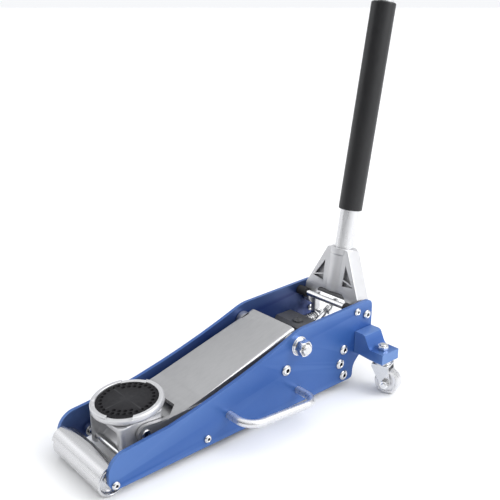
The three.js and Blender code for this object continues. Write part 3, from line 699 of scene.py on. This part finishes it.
# ---------- chassis ----------

STOP_BAR, SLEEVE, SLEEVE_BORE, SLEEVE_EDGE = 5, 8, 5.2, 0.6
ROLLER_BORE, ROLLER_RIM, ROLLER_SINK, ROLLER_EDGE = 6.4, 3.2, 6, 0.9


def add_chassis(looks):
    for name, side in SIDES:
        dress(f"side_plate_{name}", looks["blue"], 1.2)
        dress(f"caster_bracket_{name}", looks["blue"], 1.1)
        low, high = span(f"stop_sleeve_{name}")
        near, far = sorted((abs(low.y), abs(high.y)))
        place = along_y(middle("stop_bar").x, middle("stop_bar").z, side)
        shoulder = SLEEVE - SLEEVE_EDGE
        ring = [
            (SLEEVE_BORE, near), (shoulder, near), (SLEEVE, near + SLEEVE_EDGE),
            (SLEEVE, far - SLEEVE_EDGE), (shoulder, far), (SLEEVE_BORE, far),
        ]
        piece(f"stop_sleeve_{name}_rubber", turned(ring, ROUND, place), looks["rubber"], "chassis",
              "black_rubber", f"stop_sleeve_{name}")
    dress("front_cover", looks["cross"], 0.4)
    for node in ("front_axle", "tie_rod"):
        dress(node, looks["steel"], 0.4)
    stop = middle("stop_bar")
    bar = rod(STOP_BAR, -PLATE_INNER + 0.3, PLATE_INNER - 0.3, along_y(stop.x, stop.z))
    piece("stop_bar_rod", bar, looks["steel"], "chassis", "bright_steel", "stop_bar")
    add_carry_handle(looks["tube"])
    add_roller(looks["cross"])


def add_roller(look):
    low, high = span("front_roller")
    radius, half = (high.z - low.z) / 2, high.y
    recess, hub, shoulder = radius - ROLLER_RIM, half - ROLLER_SINK, half - ROLLER_EDGE
    section = [
        (ROLLER_BORE, hub), (recess - 1, hub), (recess, hub + 1), (recess, half - 0.5),
        (recess + 0.5, half), (radius - ROLLER_EDGE, half), (radius, shoulder),
    ]
    profile = [(r, -y) for r, y in section] + section[::-1]
    solid = turned(profile, FINE, along_y(ROLLER.x, ROLLER.z))
    piece("front_roller_shell", solid, look, "roller", "satin_aluminium", "front_roller")


def sweep(points, radius, segments=40):
    """A round bar whose centre line runs through the points, which lie in one plane."""
    made = bmesh.new()
    rings = []
    points = [Vector(p) for p in points]
    normal = (points[1] - points[0]).cross(points[len(points) // 2] - points[0]).normalized()
    turns = [2 * math.pi * k / segments for k in range(segments)]
    for i, point in enumerate(points):
        ahead = points[min(i + 1, len(points) - 1)] - points[max(i - 1, 0)]
        across = ahead.normalized().cross(normal)
        spots = [point + radius * (math.cos(t) * normal + math.sin(t) * across) for t in turns]
        rings.append([made.verts.new(spot) for spot in spots])
    made.faces.new(rings[0])
    made.faces.new(rings[-1])
    for first, second in zip(rings, rings[1:]):
        bridge(made, first, second)
    return as_object(made)


def add_carry_handle(look):
    """A round bar bent twice, with its ends on the left-hand plate."""
    low, high = span("carry_handle")
    radius, bend = 6, 24
    start, end = Vector((low.x + radius, 0, 0)), Vector((high.x - radius, 0, 0))
    start.z, end.z = high.z - radius, low.z + radius
    foot, reach = high.y, low.y + radius
    down = (end - start).normalized()

    def at(base, along, y):
        return base + down * along + Vector((0, y, 0))

    def corner(base, sign, order):
        quarter = [math.pi / 2 * i / 12 for i in range(13)]
        bends = [(bend * (1 - math.cos(t)), bend * (1 - math.sin(t))) for t in quarter]
        return [at(base, sign * along, reach + out) for along, out in bends][::order]

    points = [at(start, 0, foot), *corner(start, 1, 1), *corner(end, -1, -1), at(end, 0, foot)]
    bar = sweep(points, radius)
    piece("carry_handle_bar", bar, look, "chassis", "cast_aluminium", "carry_handle")


# ---------- lift arm ----------

ARM_OUTER, ARM_INNER, ARM_SKIN, ARM_BEND = 50, 44, 5, 9
ARM_SLOPE, ARM_REAR_X, ARM_REAR_Z = 0.3, 340, 131
ARM_WINDOW_FRONT, ARM_WINDOW_CORNER, ARM_WINDOW_REAR, ARM_WINDOW_HALF = 40, 112, 131, 28
TIE_PLATE_REAR, TIE_PLATE_LOW, TIE_PLATE_HIGH = 138, 55, 59
NOSE_PIN, NOSE_PIN_HALF, NOSE_BORE, RAM_SLOT = 7, 51.5, 7.3, 8.8
RAM_LEVER = MAIN.z - middle("ram_rod").z
HALF_SWING = math.radians(JOINTS["arm_lift"]["range_deg"][1] / 2)


def arm_top(x):
    return ARM_REAR_Z - ARM_SLOPE * (ARM_REAR_X - x)


def lug_point(down, across):
    """A point of the ram lugs, which hang from the main pivot half a swing forward."""
    sine, cosine = math.sin(HALF_SWING), math.cos(HALF_SWING)
    return (MAIN.x + down * sine + across * cosine, MAIN.z - down * cosine + across * sine)


def arm_outline(reach):
    """The arm's side outline, and how many of its points are the lower edge and the bent top."""
    boss, lug = 12.5, 15
    swing = math.degrees(HALF_SWING)
    lower = [(NOSE.x, NOSE.z - boss), (130, 41), (300, 63), (338, 68), lug_point(reach, -lug)]
    lower += arc(*lug_point(reach, 0), lug, 180 + swing, 360 + swing)[1:]
    lower += [lug_point(6, lug)]
    brow, dip, lip = (165, arm_top(165)), (105, 69), (84, 70.5)
    upper = [(ARM_REAR_X, ARM_REAR_Z), brow, *curve(brow, (130, arm_top(130)), dip)[1:], lip]
    nose = curve(lip, (80, 71.5), (NOSE.x, NOSE.z + boss), 8)[1:]
    nose += arc(NOSE.x, NOSE.z, boss, 90, 270)[1:-1]
    return lower + upper + nose, len(lower), len(upper)


def arm_openings():
    """The space between the arm's two walls, and the window in its top behind the saddle."""
    top = [(370, ARM_REAR_Z - 3), (ARM_REAR_X, ARM_REAR_Z - ARM_SKIN), (165, arm_top(165) - ARM_SKIN)]
    top += [(135, 65.5), (105, 64), (50, 64)]
    outline = [(50, 20), (400, 20), (400, 100)] + top
    hollow = prism(outline, -ARM_INNER, ARM_INNER, rounded=range(3, len(outline)), radius=4.5)
    window_plan = [
        (ARM_WINDOW_FRONT, -ARM_INNER), (ARM_WINDOW_CORNER, -ARM_INNER),
        (ARM_WINDOW_REAR, -ARM_WINDOW_HALF), (ARM_WINDOW_REAR, ARM_WINDOW_HALF),
        (ARM_WINDOW_CORNER, ARM_INNER), (ARM_WINDOW_FRONT, ARM_INNER),
    ]
    return hollow, prism(window_plan, 60, 90, "Z")


def add_arm(looks):
    reach = RAM_LEVER / math.cos(HALF_SWING)
    outline, lower, upper = arm_outline(reach)
    bent = range(lower, lower + upper - 1)
    body = prism(outline, -ARM_OUTER, ARM_OUTER, rounded=bent, radius=ARM_BEND)
    body = cut(body, *arm_openings())
    bosses = []
    for _, side in SIDES:
        place = along_y(MAIN.x, MAIN.z, side)
        bosses.append(rod(13.5, ARM_INNER + 1, PLATE_INNER - 0.8, place, chamfer=0.6))
    tie_plate = block(
        (ARM_WINDOW_CORNER, -ARM_INNER - 1, TIE_PLATE_LOW), (TIE_PLATE_REAR, ARM_INNER + 1, TIE_PLATE_HIGH)
    )
    body = join(body, tie_plate, *bosses)
    slot = capsule(*lug_point(RAM_LEVER - 1.5, 0), *lug_point(reach + 0.5, 0), RAM_SLOT)
    top_hole = prism(capsule(318, 44.5, 327, 44.5, 3.6), 110, 150, "Z")
    body = cut(
        body,
        rod(PIVOT_BORE, -THROUGH, THROUGH, along_y(MAIN.x, MAIN.z)),
        rod(NOSE_BORE, -THROUGH, THROUGH, along_y(NOSE.x, NOSE.z)),
        prism(slot, -THROUGH, THROUGH),
        top_hole,
    )
    body = soften(body, 0.6, 2, 40)
    piece("lift_arm_channel", body, looks["sheet"], "arm", "satin_aluminium", "lift_arm")
    pin = rod(NOSE_PIN, -NOSE_PIN_HALF, NOSE_PIN_HALF, along_y(NOSE.x, NOSE.z), chamfer=0.8)
    deep, past = NOSE_PIN_HALF - 1.2, NOSE_PIN_HALF + 1.5
    dimples = [rod(4.2, deep, past, along_y(NOSE.x, NOSE.z, side)) for _, side in SIDES]
    piece("nose_pin_rod", cut(pin, *dimples), looks["steel"], "arm", "bright_steel", "nose_pin")
    for name, _ in SIDES:
        dress(f"levelling_link_{name}", looks["steel"], 0.6)


# ---------- saddle ----------

HEAD_OUTER, HEAD_INNER, HEAD_SKIN = 43, 34, 8
HEAD_WEB_FRONT, HEAD_WEB_REAR = 62, 79
HEAD_FRONT, HEAD_REAR = span("saddle_head")[0].x, span("saddle_head")[1].x
HEAD_PIN_RADIUS, HEAD_PIN_BORE, HEAD_PIN_BOSS, STUD_BORE = 5, 5.3, 9.6, 10.4
CUP_HEIGHT, CUP_RADIUS, CUP_RIM, CUP_SEAT, STUD = 11, 51, 1, -6.3, 10
NOTCH_TURN, NOTCH_HALF, NOTCH_LOW = 45, 18, -2.3
PAD_RADIUS, PAD_SHOULDER = 43.2, -0.6
# The dimples of the pad: how many on the outer circle and in each inner row, and their distances.
DIMPLES_OUTER, DIMPLES_INNER = (28, 36.5), (4, 29.7)


def head_top(x):
    return SADDLE.z - CUP_HEIGHT - 0.5 + math.tan(-lean_of("saddle_swivel")) * (x - SADDLE.x)


def add_head(looks):
    outline = [(HEAD_FRONT + 0.5, head_top(HEAD_FRONT)), (HEAD_PIN.x - HEAD_PIN_BOSS, HEAD_PIN.z)]
    outline += arc(HEAD_PIN.x, HEAD_PIN.z, HEAD_PIN_BOSS, 180, 315)[1:]
    outline += [(83, 48), *((HEAD_REAR - 0.5, head_top(HEAD_REAR) - down) for down in (9, 0))]
    body = prism(outline, -HEAD_OUTER + 0.3, HEAD_OUTER - 0.3)
    front = [(20, 0), (50, 0), (50, 27), (HEAD_WEB_FRONT, 37)]
    rear = [(HEAD_WEB_REAR, 0), (120, 0)]
    front += [(x, head_top(x) - HEAD_SKIN) for x in (HEAD_WEB_FRONT, 20)]
    rear += [(x, head_top(x) - HEAD_SKIN) for x in (120, HEAD_WEB_REAR)]
    crease_shade = [prism(inside, -HEAD_INNER, HEAD_INNER) for inside in (front, rear)]
    plan = prism(rounded_box(HEAD_FRONT, -HEAD_OUTER, HEAD_REAR, HEAD_OUTER, 11), 0, 100, "Z")
    body = common(cut(body, *crease_shade), plan)
    body = cast(body, 0.9, 6, 0.35)
    body = cut(
        body,
        rod(NOSE_BORE, -THROUGH, THROUGH, along_y(NOSE.x, NOSE.z)),
        rod(HEAD_PIN_BORE, -THROUGH, THROUGH, along_y(HEAD_PIN.x, HEAD_PIN.z)),
        rod(STUD_BORE, -20.5, 10, SADDLE_FRAME),
    )
    piece("saddle_head_casting", body, looks["cast"], "head", "cast_aluminium", "saddle_head")
    pin_low, pin_high = span("head_pin")
    pin = rod(HEAD_PIN_RADIUS, pin_low.y, pin_high.y, along_y(HEAD_PIN.x, HEAD_PIN.z), chamfer=0.8)
    piece("head_pin_rod", pin, looks["steel"], "head", "bright_steel", "head_pin")


def rounded_box(x1, y1, x2, y2, radius):
    corners = ((x2, y2, 0), (x1, y2, 90), (x1, y1, 180), (x2, y1, 270))
    points = []
    for x, y, start in corners:
        inward_x, inward_y = (-1 if x == x2 else 1), (-1 if y == y2 else 1)
        points += arc(x + inward_x * radius, y + inward_y * radius, radius, start, start + 90, 8)
    return points


def about_saddle(turn):
    """The saddle's frame, turned about its axis by an angle in degrees."""
    return SADDLE_FRAME @ Matrix.Rotation(math.radians(turn), 4, "Z")


def saddle_cup():
    ring, pad, rim, low = CUP_RADIUS, PAD_RADIUS, CUP_RIM, -CUP_HEIGHT
    profile = [(0, low - 8), (STUD - 0.8, low - 8), (STUD, low - 7.2), (STUD, low), (ring - 5.6, low)]
    profile += curve((ring - 5.6, low), (ring - 0.4, low + 1.2), (ring, low + 5), 8)[1:]
    profile += [(ring, -3)]
    profile += curve((ring, -3), (ring - 0.2, rim), (ring - 3.2, rim), 8)[1:]
    profile += [(pad + 1.1, rim), (pad + 0.4, rim - 0.7), (pad + 0.4, CUP_SEAT), (0, CUP_SEAT)]
    cup = turned(profile, FINE, SADDLE_FRAME)
    notches = []
    for turn in (NOTCH_TURN, NOTCH_TURN + 180):
        low_corner, high_corner = (pad - 8, -NOTCH_HALF, NOTCH_LOW), (ring + 5, NOTCH_HALF, rim + 5)
        notches.append(block(low_corner, high_corner, about_saddle(turn)))
    return soften(cut(cup, *notches), 0.5, 2, 40)


def saddle_pad():
    """The rubber disc with a circle of dimples, and a short row of them towards each notch."""
    pad, shoulder = PAD_RADIUS, PAD_SHOULDER
    profile = [(0, -6), (pad - 0.8, -6), (pad, -5.2), (pad, -2)]
    profile += curve((pad, -2), (pad, shoulder), (pad - 2, shoulder), 6)[1:]
    profile += [(pad - 3.6, shoulder), (pad - 4.4, 0), (0, 0)]
    disc = turned(profile, FINE, SADDLE_FRAME)
    count, distance = DIMPLES_OUTER
    places = [(distance, 360 * k / count) for k in range(count)]
    count, distance = DIMPLES_INNER
    middle_of_row = (count - 1) / 2
    for side in (0, 180):
        places += [(distance, NOTCH_TURN + side + 15.5 * (k - middle_of_row)) for k in range(count)]
    dimples = bmesh.new()
    for distance, turn in places:
        spot = about_saddle(turn) @ Matrix.Translation((distance, 0, -0.9))
        bmesh.ops.create_cone(
            dimples, cap_ends=True, segments=24, radius1=1.9, radius2=3.3, depth=2.8, matrix=spot
        )
    return cut(disc, as_object(dimples))


def add_saddle(looks):
    piece("saddle_cup_ring", saddle_cup(), looks["cast"], "saddle", "cast_aluminium", "saddle_cup")
    pad = piece("saddle_pad_rubber", saddle_pad(), looks["rubber"], "saddle", "black_rubber", "saddle_pad")


# ---------- hydraulic unit ----------

SPRING_RADIUS, SPRING_WIRE, SPRING_TURNS, SPRING_KEEP = 9.4, 0.95, 5, 0.14
PLUNGER, PLUNGER_CAP, PLUNGER_CAP_DEPTH = 7, 12, 3.5


def helix(length, radius, wire, turns, place):
    """A compression spring along Z, from 0 to length."""
    made = bmesh.new()
    steps, segments = int(turns * 28), 10
    rings = []
    for i in range(steps + 1):
        angle = 2 * math.pi * turns * i / steps
        height = wire + (length - 2 * wire) * i / steps
        out = Vector((math.cos(angle), math.sin(angle), 0))
        centre = radius * out + Vector((0, 0, height))
        around = [2 * math.pi * k / segments for k in range(segments)]
        spots = [centre + wire * (math.cos(t) * out + Vector((0, 0, math.sin(t)))) for t in around]
        rings.append([made.verts.new(spot) for spot in spots])
    made.faces.new(rings[0])
    made.faces.new(rings[-1])
    for first, second in zip(rings, rings[1:]):
        bridge(made, first, second)
    return as_object(made, place)


def add_hydraulics(looks):
    for node in ("ram_rod", "ram_pin", "release_valve"):
        dress(node, looks["steel"], 0.4)
    dress("pump_block", looks["dark"], 1.2)
    dress("ram_cylinder", looks["dark"], 0.6)
    add_filler_plug(looks["dark"])
    block_rear = span("pump_block")[1].x
    for name, _ in SIDES:
        node = f"pump_plunger_{name}"
        low, high = span(node)
        y, z = middle(node).y, middle(node).z
        seat = high.x - PLUNGER_CAP_DEPTH
        profile = [
            (0, low.x), (PLUNGER, low.x), (PLUNGER, seat), (PLUNGER_CAP - 0.8, seat),
            (PLUNGER_CAP, seat + 0.8), (PLUNGER_CAP, high.x - 1), (PLUNGER_CAP - 1, high.x), (0, high.x),
        ]
        plunger = turned(profile, ROUND, along_x(y, z))
        piece(f"{node}_turned", plunger, looks["steel"], f"plunger_{name}", "bright_steel", node)
        start = block_rear + 0.1
        length = seat - 0.1 - start
        spring = helix(length, SPRING_RADIUS, SPRING_WIRE, SPRING_TURNS, along_x(y, z, start))
        spring = piece(f"plunger_spring_{name}", spring, looks["steel"], "chassis", "bright_steel")
        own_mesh(spring)


def add_filler_plug(look):
    low, high = span("filler_plug")
    x, y, _ = middle("filler_plug")
    radius, shank, seat, slot_half = (high.x - low.x) / 2, 6, high.z - 3.4, 0.8
    profile = [(0, low.z), (shank, low.z), (shank, seat), (radius, seat), (radius, seat + 2)]
    profile += curve((radius, seat + 2), (radius, high.z), (radius - 1.6, high.z), 6)[1:]
    profile += [(0, high.z)]
    place = Matrix.Translation((x, y, 0))
    plug = turned(profile, ROUND, place)
    slot_place = place @ Matrix.Rotation(0.6, 4, "Z")
    slot = block((-radius, -slot_half, high.z - 1.4), (radius, slot_half, high.z + 1), slot_place)
    piece("filler_plug_cap", cut(plug, slot), look, "chassis", "dark_steel", "filler_plug")


# ---------- handle ----------

WEB_FRONT, WEB_REAR, WEB_TOP, WEB_TOP_HALF, WEB_FOOT, WEB_FOOT_HALF, WALL = -16, -7, 94, 22, 7, 58, 7
WEB_SHOULDER, ARCH_TOP, ARCH_HALF, ARCH_FLAT = 21, 21, 33, 20
SOCKET, COLLAR, BORE, SOCKET_LOW, SOCKET_HIGH = 20.6, 21.8, 15.9, 21, 96
FOLLOWER_ARM, FOLLOWER_LUG, FOLLOWER_BORE, YOKE_BORE = 33, 6.4, 4.3, 6.3
CLAMP_Z, CLAMP_RADIUS, CLAMP_BORE, CLAMP_HEX = 80, 3.2, 3.5, 6.4
TUBE_OUTER, TUBE_INNER, TUBE_FOOT, TUBE_TOP = 15.5, 13.5, 34, 493
GRIP_RADIUS, GRIP_FOOT, GRIP_TOP, GRIP_RINGS = 19.45, 160, 488.5, 12


def follower_place():
    """The follower hangs straight below the pivot; this is its place on the leaning yoke."""
    lean = lean_of("handle_twist")
    return FOLLOWER_ARM * math.sin(lean), -FOLLOWER_ARM * math.cos(lean)


def yoke_side(side):
    outline = [
        (side * WEB_TOP_HALF, WEB_TOP), (side * (WEB_TOP_HALF - WALL), WEB_TOP),
        (side * (WEB_FOOT_HALF - WALL), WEB_SHOULDER), (side * (WEB_FOOT_HALF - WALL), WEB_FOOT),
        (side * WEB_FOOT_HALF, WEB_FOOT), (side * WEB_FOOT_HALF, WEB_SHOULDER),
    ]
    slant = prism(outline, WEB_FRONT + 0.3, 13, "X")
    x, z = follower_place()
    boss = rod(15.8, 47, 61.2, along_y(0, 0, side))
    lug = prism(capsule(0, 0, x, z, FOLLOWER_LUG), *sorted((side * 40.2, side * 50)))
    return [slant, boss, lug]


def yoke_pocket(side):
    """The triangular pocket of the web and the thin rib that crosses it."""
    upper = [(side * 22.6, 70), (side * 21.8, 46.5), (side * 40.6, 41.4)]
    lower = [(side * 21.7, 44.3), (side * 21.6, 34.6), (side * 45, 37.6), (side * 42.6, 38.8)]
    return [prism(outline, WEB_FRONT - 3, WEB_FRONT + 6, "X") for outline in (upper, lower)]


def add_yoke(looks):
    half = [(ARCH_FLAT, ARCH_TOP)]
    half += curve((ARCH_FLAT, ARCH_TOP), (ARCH_HALF - 2, ARCH_TOP), (ARCH_HALF, WEB_FOOT))[1:]
    half += [(WEB_FOOT_HALF, WEB_FOOT), (WEB_FOOT_HALF, WEB_SHOULDER), (WEB_TOP_HALF, WEB_TOP)]
    outline = half + [(-y, z) for y, z in reversed(half)]
    web = prism(outline, WEB_FRONT + 0.3, WEB_REAR, "X")
    socket = rod(SOCKET, SOCKET_LOW + 0.3, SOCKET_HIGH - 0.3)
    body = join(web, socket, *yoke_side(-1), *yoke_side(1))
    collar_top = SOCKET_HIGH - 0.4
    collar = turned([(0, 83.5), (20, 83.5), (COLLAR, 85.5), (COLLAR, collar_top), (0, collar_top)])
    body = cast(join(body, collar), 0.85, 4, 0.4)
    x, z = follower_place()
    body = cut(
        body,
        *yoke_pocket(-1),
        *yoke_pocket(1),
        rod(BORE, SOCKET_LOW - 5, SOCKET_HIGH + 5),
        rod(YOKE_BORE, -THROUGH, THROUGH, along_y(0, 0)),
        rod(FOLLOWER_BORE, -THROUGH, THROUGH, along_y(x, z)),
        rod(CLAMP_BORE, 5, 30, along_x(0, CLAMP_Z)),
    )
    body.data.transform(HANDLE_FRAME)
    piece("handle_yoke_casting", body, looks["cast"], "yoke", "cast_aluminium", "handle_yoke")
    for name, _ in SIDES:
        dress(f"pump_follower_{name}", looks["steel"], 0.4)
    cross_bar = rod(4.4, -50.5, 50.5, HANDLE_FRAME @ along_y(-10, 16.4), chamfer=0.5)
    piece("yoke_cross_bar", cross_bar, looks["dark"], "yoke", "dark_steel")
    place = HANDLE_FRAME @ along_x(0, CLAMP_Z)
    shank = rod(CLAMP_RADIUS, BORE + 0.7, SOCKET + 2, place)
    screw = join(shank, hexagon(CLAMP_HEX, 20.9, 27.2, place, 0.9))
    piece("clamp_screw_hex", screw, looks["steel"], "yoke", "bright_steel", "clamp_screw")


def grip_profile():
    """The foam grip: a straight sleeve, cut into rings, with both ends rounded."""
    bore, grip, foot, top = TUBE_OUTER + 0.3, GRIP_RADIUS, GRIP_FOOT, GRIP_TOP
    profile = [(bore, foot), (grip - 1.8, foot)]
    profile += curve((grip - 1.8, foot), (grip, foot), (grip, foot + 3), 6)[1:]
    profile += [(grip, foot + k * (top - foot) / GRIP_RINGS) for k in range(1, GRIP_RINGS)]
    profile += curve((grip, top - 3), (grip, top), (grip - 1.8, top), 6)
    profile += [(bore, top)]
    return profile


def add_handle(looks):
    inner, outer, foot, top = TUBE_INNER, TUBE_OUTER, TUBE_FOOT, TUBE_TOP
    profile = [(inner, foot), (outer, foot), (outer, top - 0.6), (outer - 0.6, top)]
    profile += [(inner + 0.6, top), (inner, top - 0.6)]
    tube = turned(profile, FINE, HANDLE_FRAME)
    piece("handle_tube_drawn", tube, looks["tube"], "handle", "cast_aluminium", "handle_tube")
    foam = turned(grip_profile(), FINE, HANDLE_FRAME)
    foam = piece("handle_grip_foam", foam, looks["foam"], "handle", "black_foam", "handle_grip")
    profile = [(0, top - 14), (inner - 0.4, top - 14), (inner - 0.4, top - 3), (inner - 2, top - 1.5)]
    profile += [(inner - 5, top - 1.5), (inner - 6, top - 2.6), (0, top - 2.6)]
    cap = turned(profile, ROUND, HANDLE_FRAME)
    piece("handle_cap_plug", cap, looks["rubber"], "handle", "black_rubber", "handle_cap")
    dress("valve_drive", looks["steel"], 0.4)


# ---------- casters ----------

FORK_FRONT, FORK_REAR, FORK_SHOULDER, FORK_LOW, FORK_TOP, FORK_LEG = -12.6, 15.6, 44, 46, 50, 3
WHEEL_HALF, WHEEL_BORE, WHEEL_EDGE, WHEEL_GROOVE = 10, 4.4, 2.4, 1.0
STEM_RADIUS, STEM_TOP, STEM_HEX = 6, 81.5, 8.9
AXLE_RADIUS, AXLE_BORE, AXLE_HEX = 4, 4.3, 7.3


def caster_fork(trail, axle_z, outer):
    """The pressed fork with its bearing race and stem, about the stem's axis."""
    outline = [(FORK_FRONT, FORK_TOP), (FORK_FRONT, FORK_SHOULDER), (trail - 8.4, axle_z - 3)]
    outline += arc(trail, axle_z, 8.6, 207, 360)[1:]
    outline += [(FORK_REAR, FORK_SHOULDER), (FORK_REAR, FORK_TOP)]
    fork = block((FORK_FRONT, -outer, FORK_LOW), (FORK_REAR, outer, FORK_TOP))
    legs = [prism(outline, *sorted((s * (outer - FORK_LEG), s * outer))) for _, s in SIDES]
    fork = soften(join(fork, *legs), 1.2, 3, 50)
    race = [(0, 49), (12.6, 49), (12.6, 50.6), (15, 50.6), (15, 52.4), (14.2, 52.9), (14.2, 53.4)]
    race += [(15, 53.9), (15, 55.2), (0, 55.2)]
    stem = rod(STEM_RADIUS, FORK_TOP, STEM_TOP, chamfer=0.9)
    hole = rod(AXLE_BORE, -THROUGH / 2, THROUGH / 2, along_y(trail, axle_z))
    return cut(join(fork, turned(race), stem), hole)


def caster_wheel(radius):
    """The wheel's section: a hub, a shallow groove on each face, and rounded edges of the tread."""
    half, edge, sunk = WHEEL_HALF, WHEEL_EDGE, WHEEL_HALF - WHEEL_GROOVE
    face = [
        (WHEEL_BORE, half), (9, half), (9.6, sunk), (14.2, sunk), (14.8, half),
        (radius - edge, half), (radius, half - edge),
    ]
    return [(r, -y) for r, y in face] + face[::-1]


def add_caster(name, looks):
    steel, body = looks["steel"], f"caster_{name}"
    stem = pivot(f"caster_swivel_{name}")
    axle = pivot(f"wheel_spin_{name}")
    trail = Vector((axle.x - stem.x, axle.y - stem.y)).length
    heading = math.atan2(axle.y - stem.y, axle.x - stem.x)
    place = Matrix.Translation((stem.x, stem.y, 0)) @ Matrix.Rotation(heading, 4, "Z")
    outer = WHEEL_HALF + 1 + FORK_LEG
    fork = caster_fork(trail, axle.z, outer)
    fork.data.transform(place)
    piece(f"caster_fork_{name}_pressed", fork, steel, body, "bright_steel", f"caster_fork_{name}")
    nut_low, nut_high = span(f"caster_nut_{name}")
    nut = hexagon(STEM_HEX, nut_low.z, nut_high.z, place, 1.1, bore=STEM_RADIUS + 0.2)
    piece(f"caster_nut_{name}_hex", nut, steel, body, "bright_steel", f"caster_nut_{name}")
    across = along_y(trail, axle.z)
    wheel = turned(caster_wheel(axle.z), FINE, across)
    wheel.data.transform(place)
    wheel_node = f"caster_wheel_{name}"
    piece(f"{wheel_node}_turned", wheel, looks["wheel"], f"wheel_{name}", "bright_steel", wheel_node)
    seat = outer + 0.3
    pin = rod(AXLE_RADIUS, -seat - 9, seat + 1, across, chamfer=0.7)
    head = hexagon(AXLE_HEX, seat, seat + 5, across, 0.8)
    nut = hexagon(AXLE_HEX, -seat - 6.5, -seat, across, 0.8)
    bolt = join(pin, head, nut)
    bolt.data.transform(place)
    piece(f"caster_axle_{name}_bolt", bolt, steel, body, "bright_steel", f"caster_axle_{name}")


# ---------- assembly ----------

add_camera()
add_studio()
LOOKS = {
    "blue": blue_anodised(), "sheet": satin_sheet(), "cross": cross_grain(), "cast": cast_metal(),
    "tube": drawn_tube(), "steel": zinc_plate(), "wheel": drawn_tube(), "dark": dark_paint(),
    "rubber": black_rubber(), "foam": black_foam(),
}
add_chassis(LOOKS)
add_fasteners(LOOKS)
add_arm(LOOKS)
add_head(LOOKS)
add_saddle(LOOKS)
add_hydraulics(LOOKS)
add_yoke(LOOKS)
add_handle(LOOKS)
for caster_name, _ in SIDES:
    add_caster(caster_name, LOOKS)
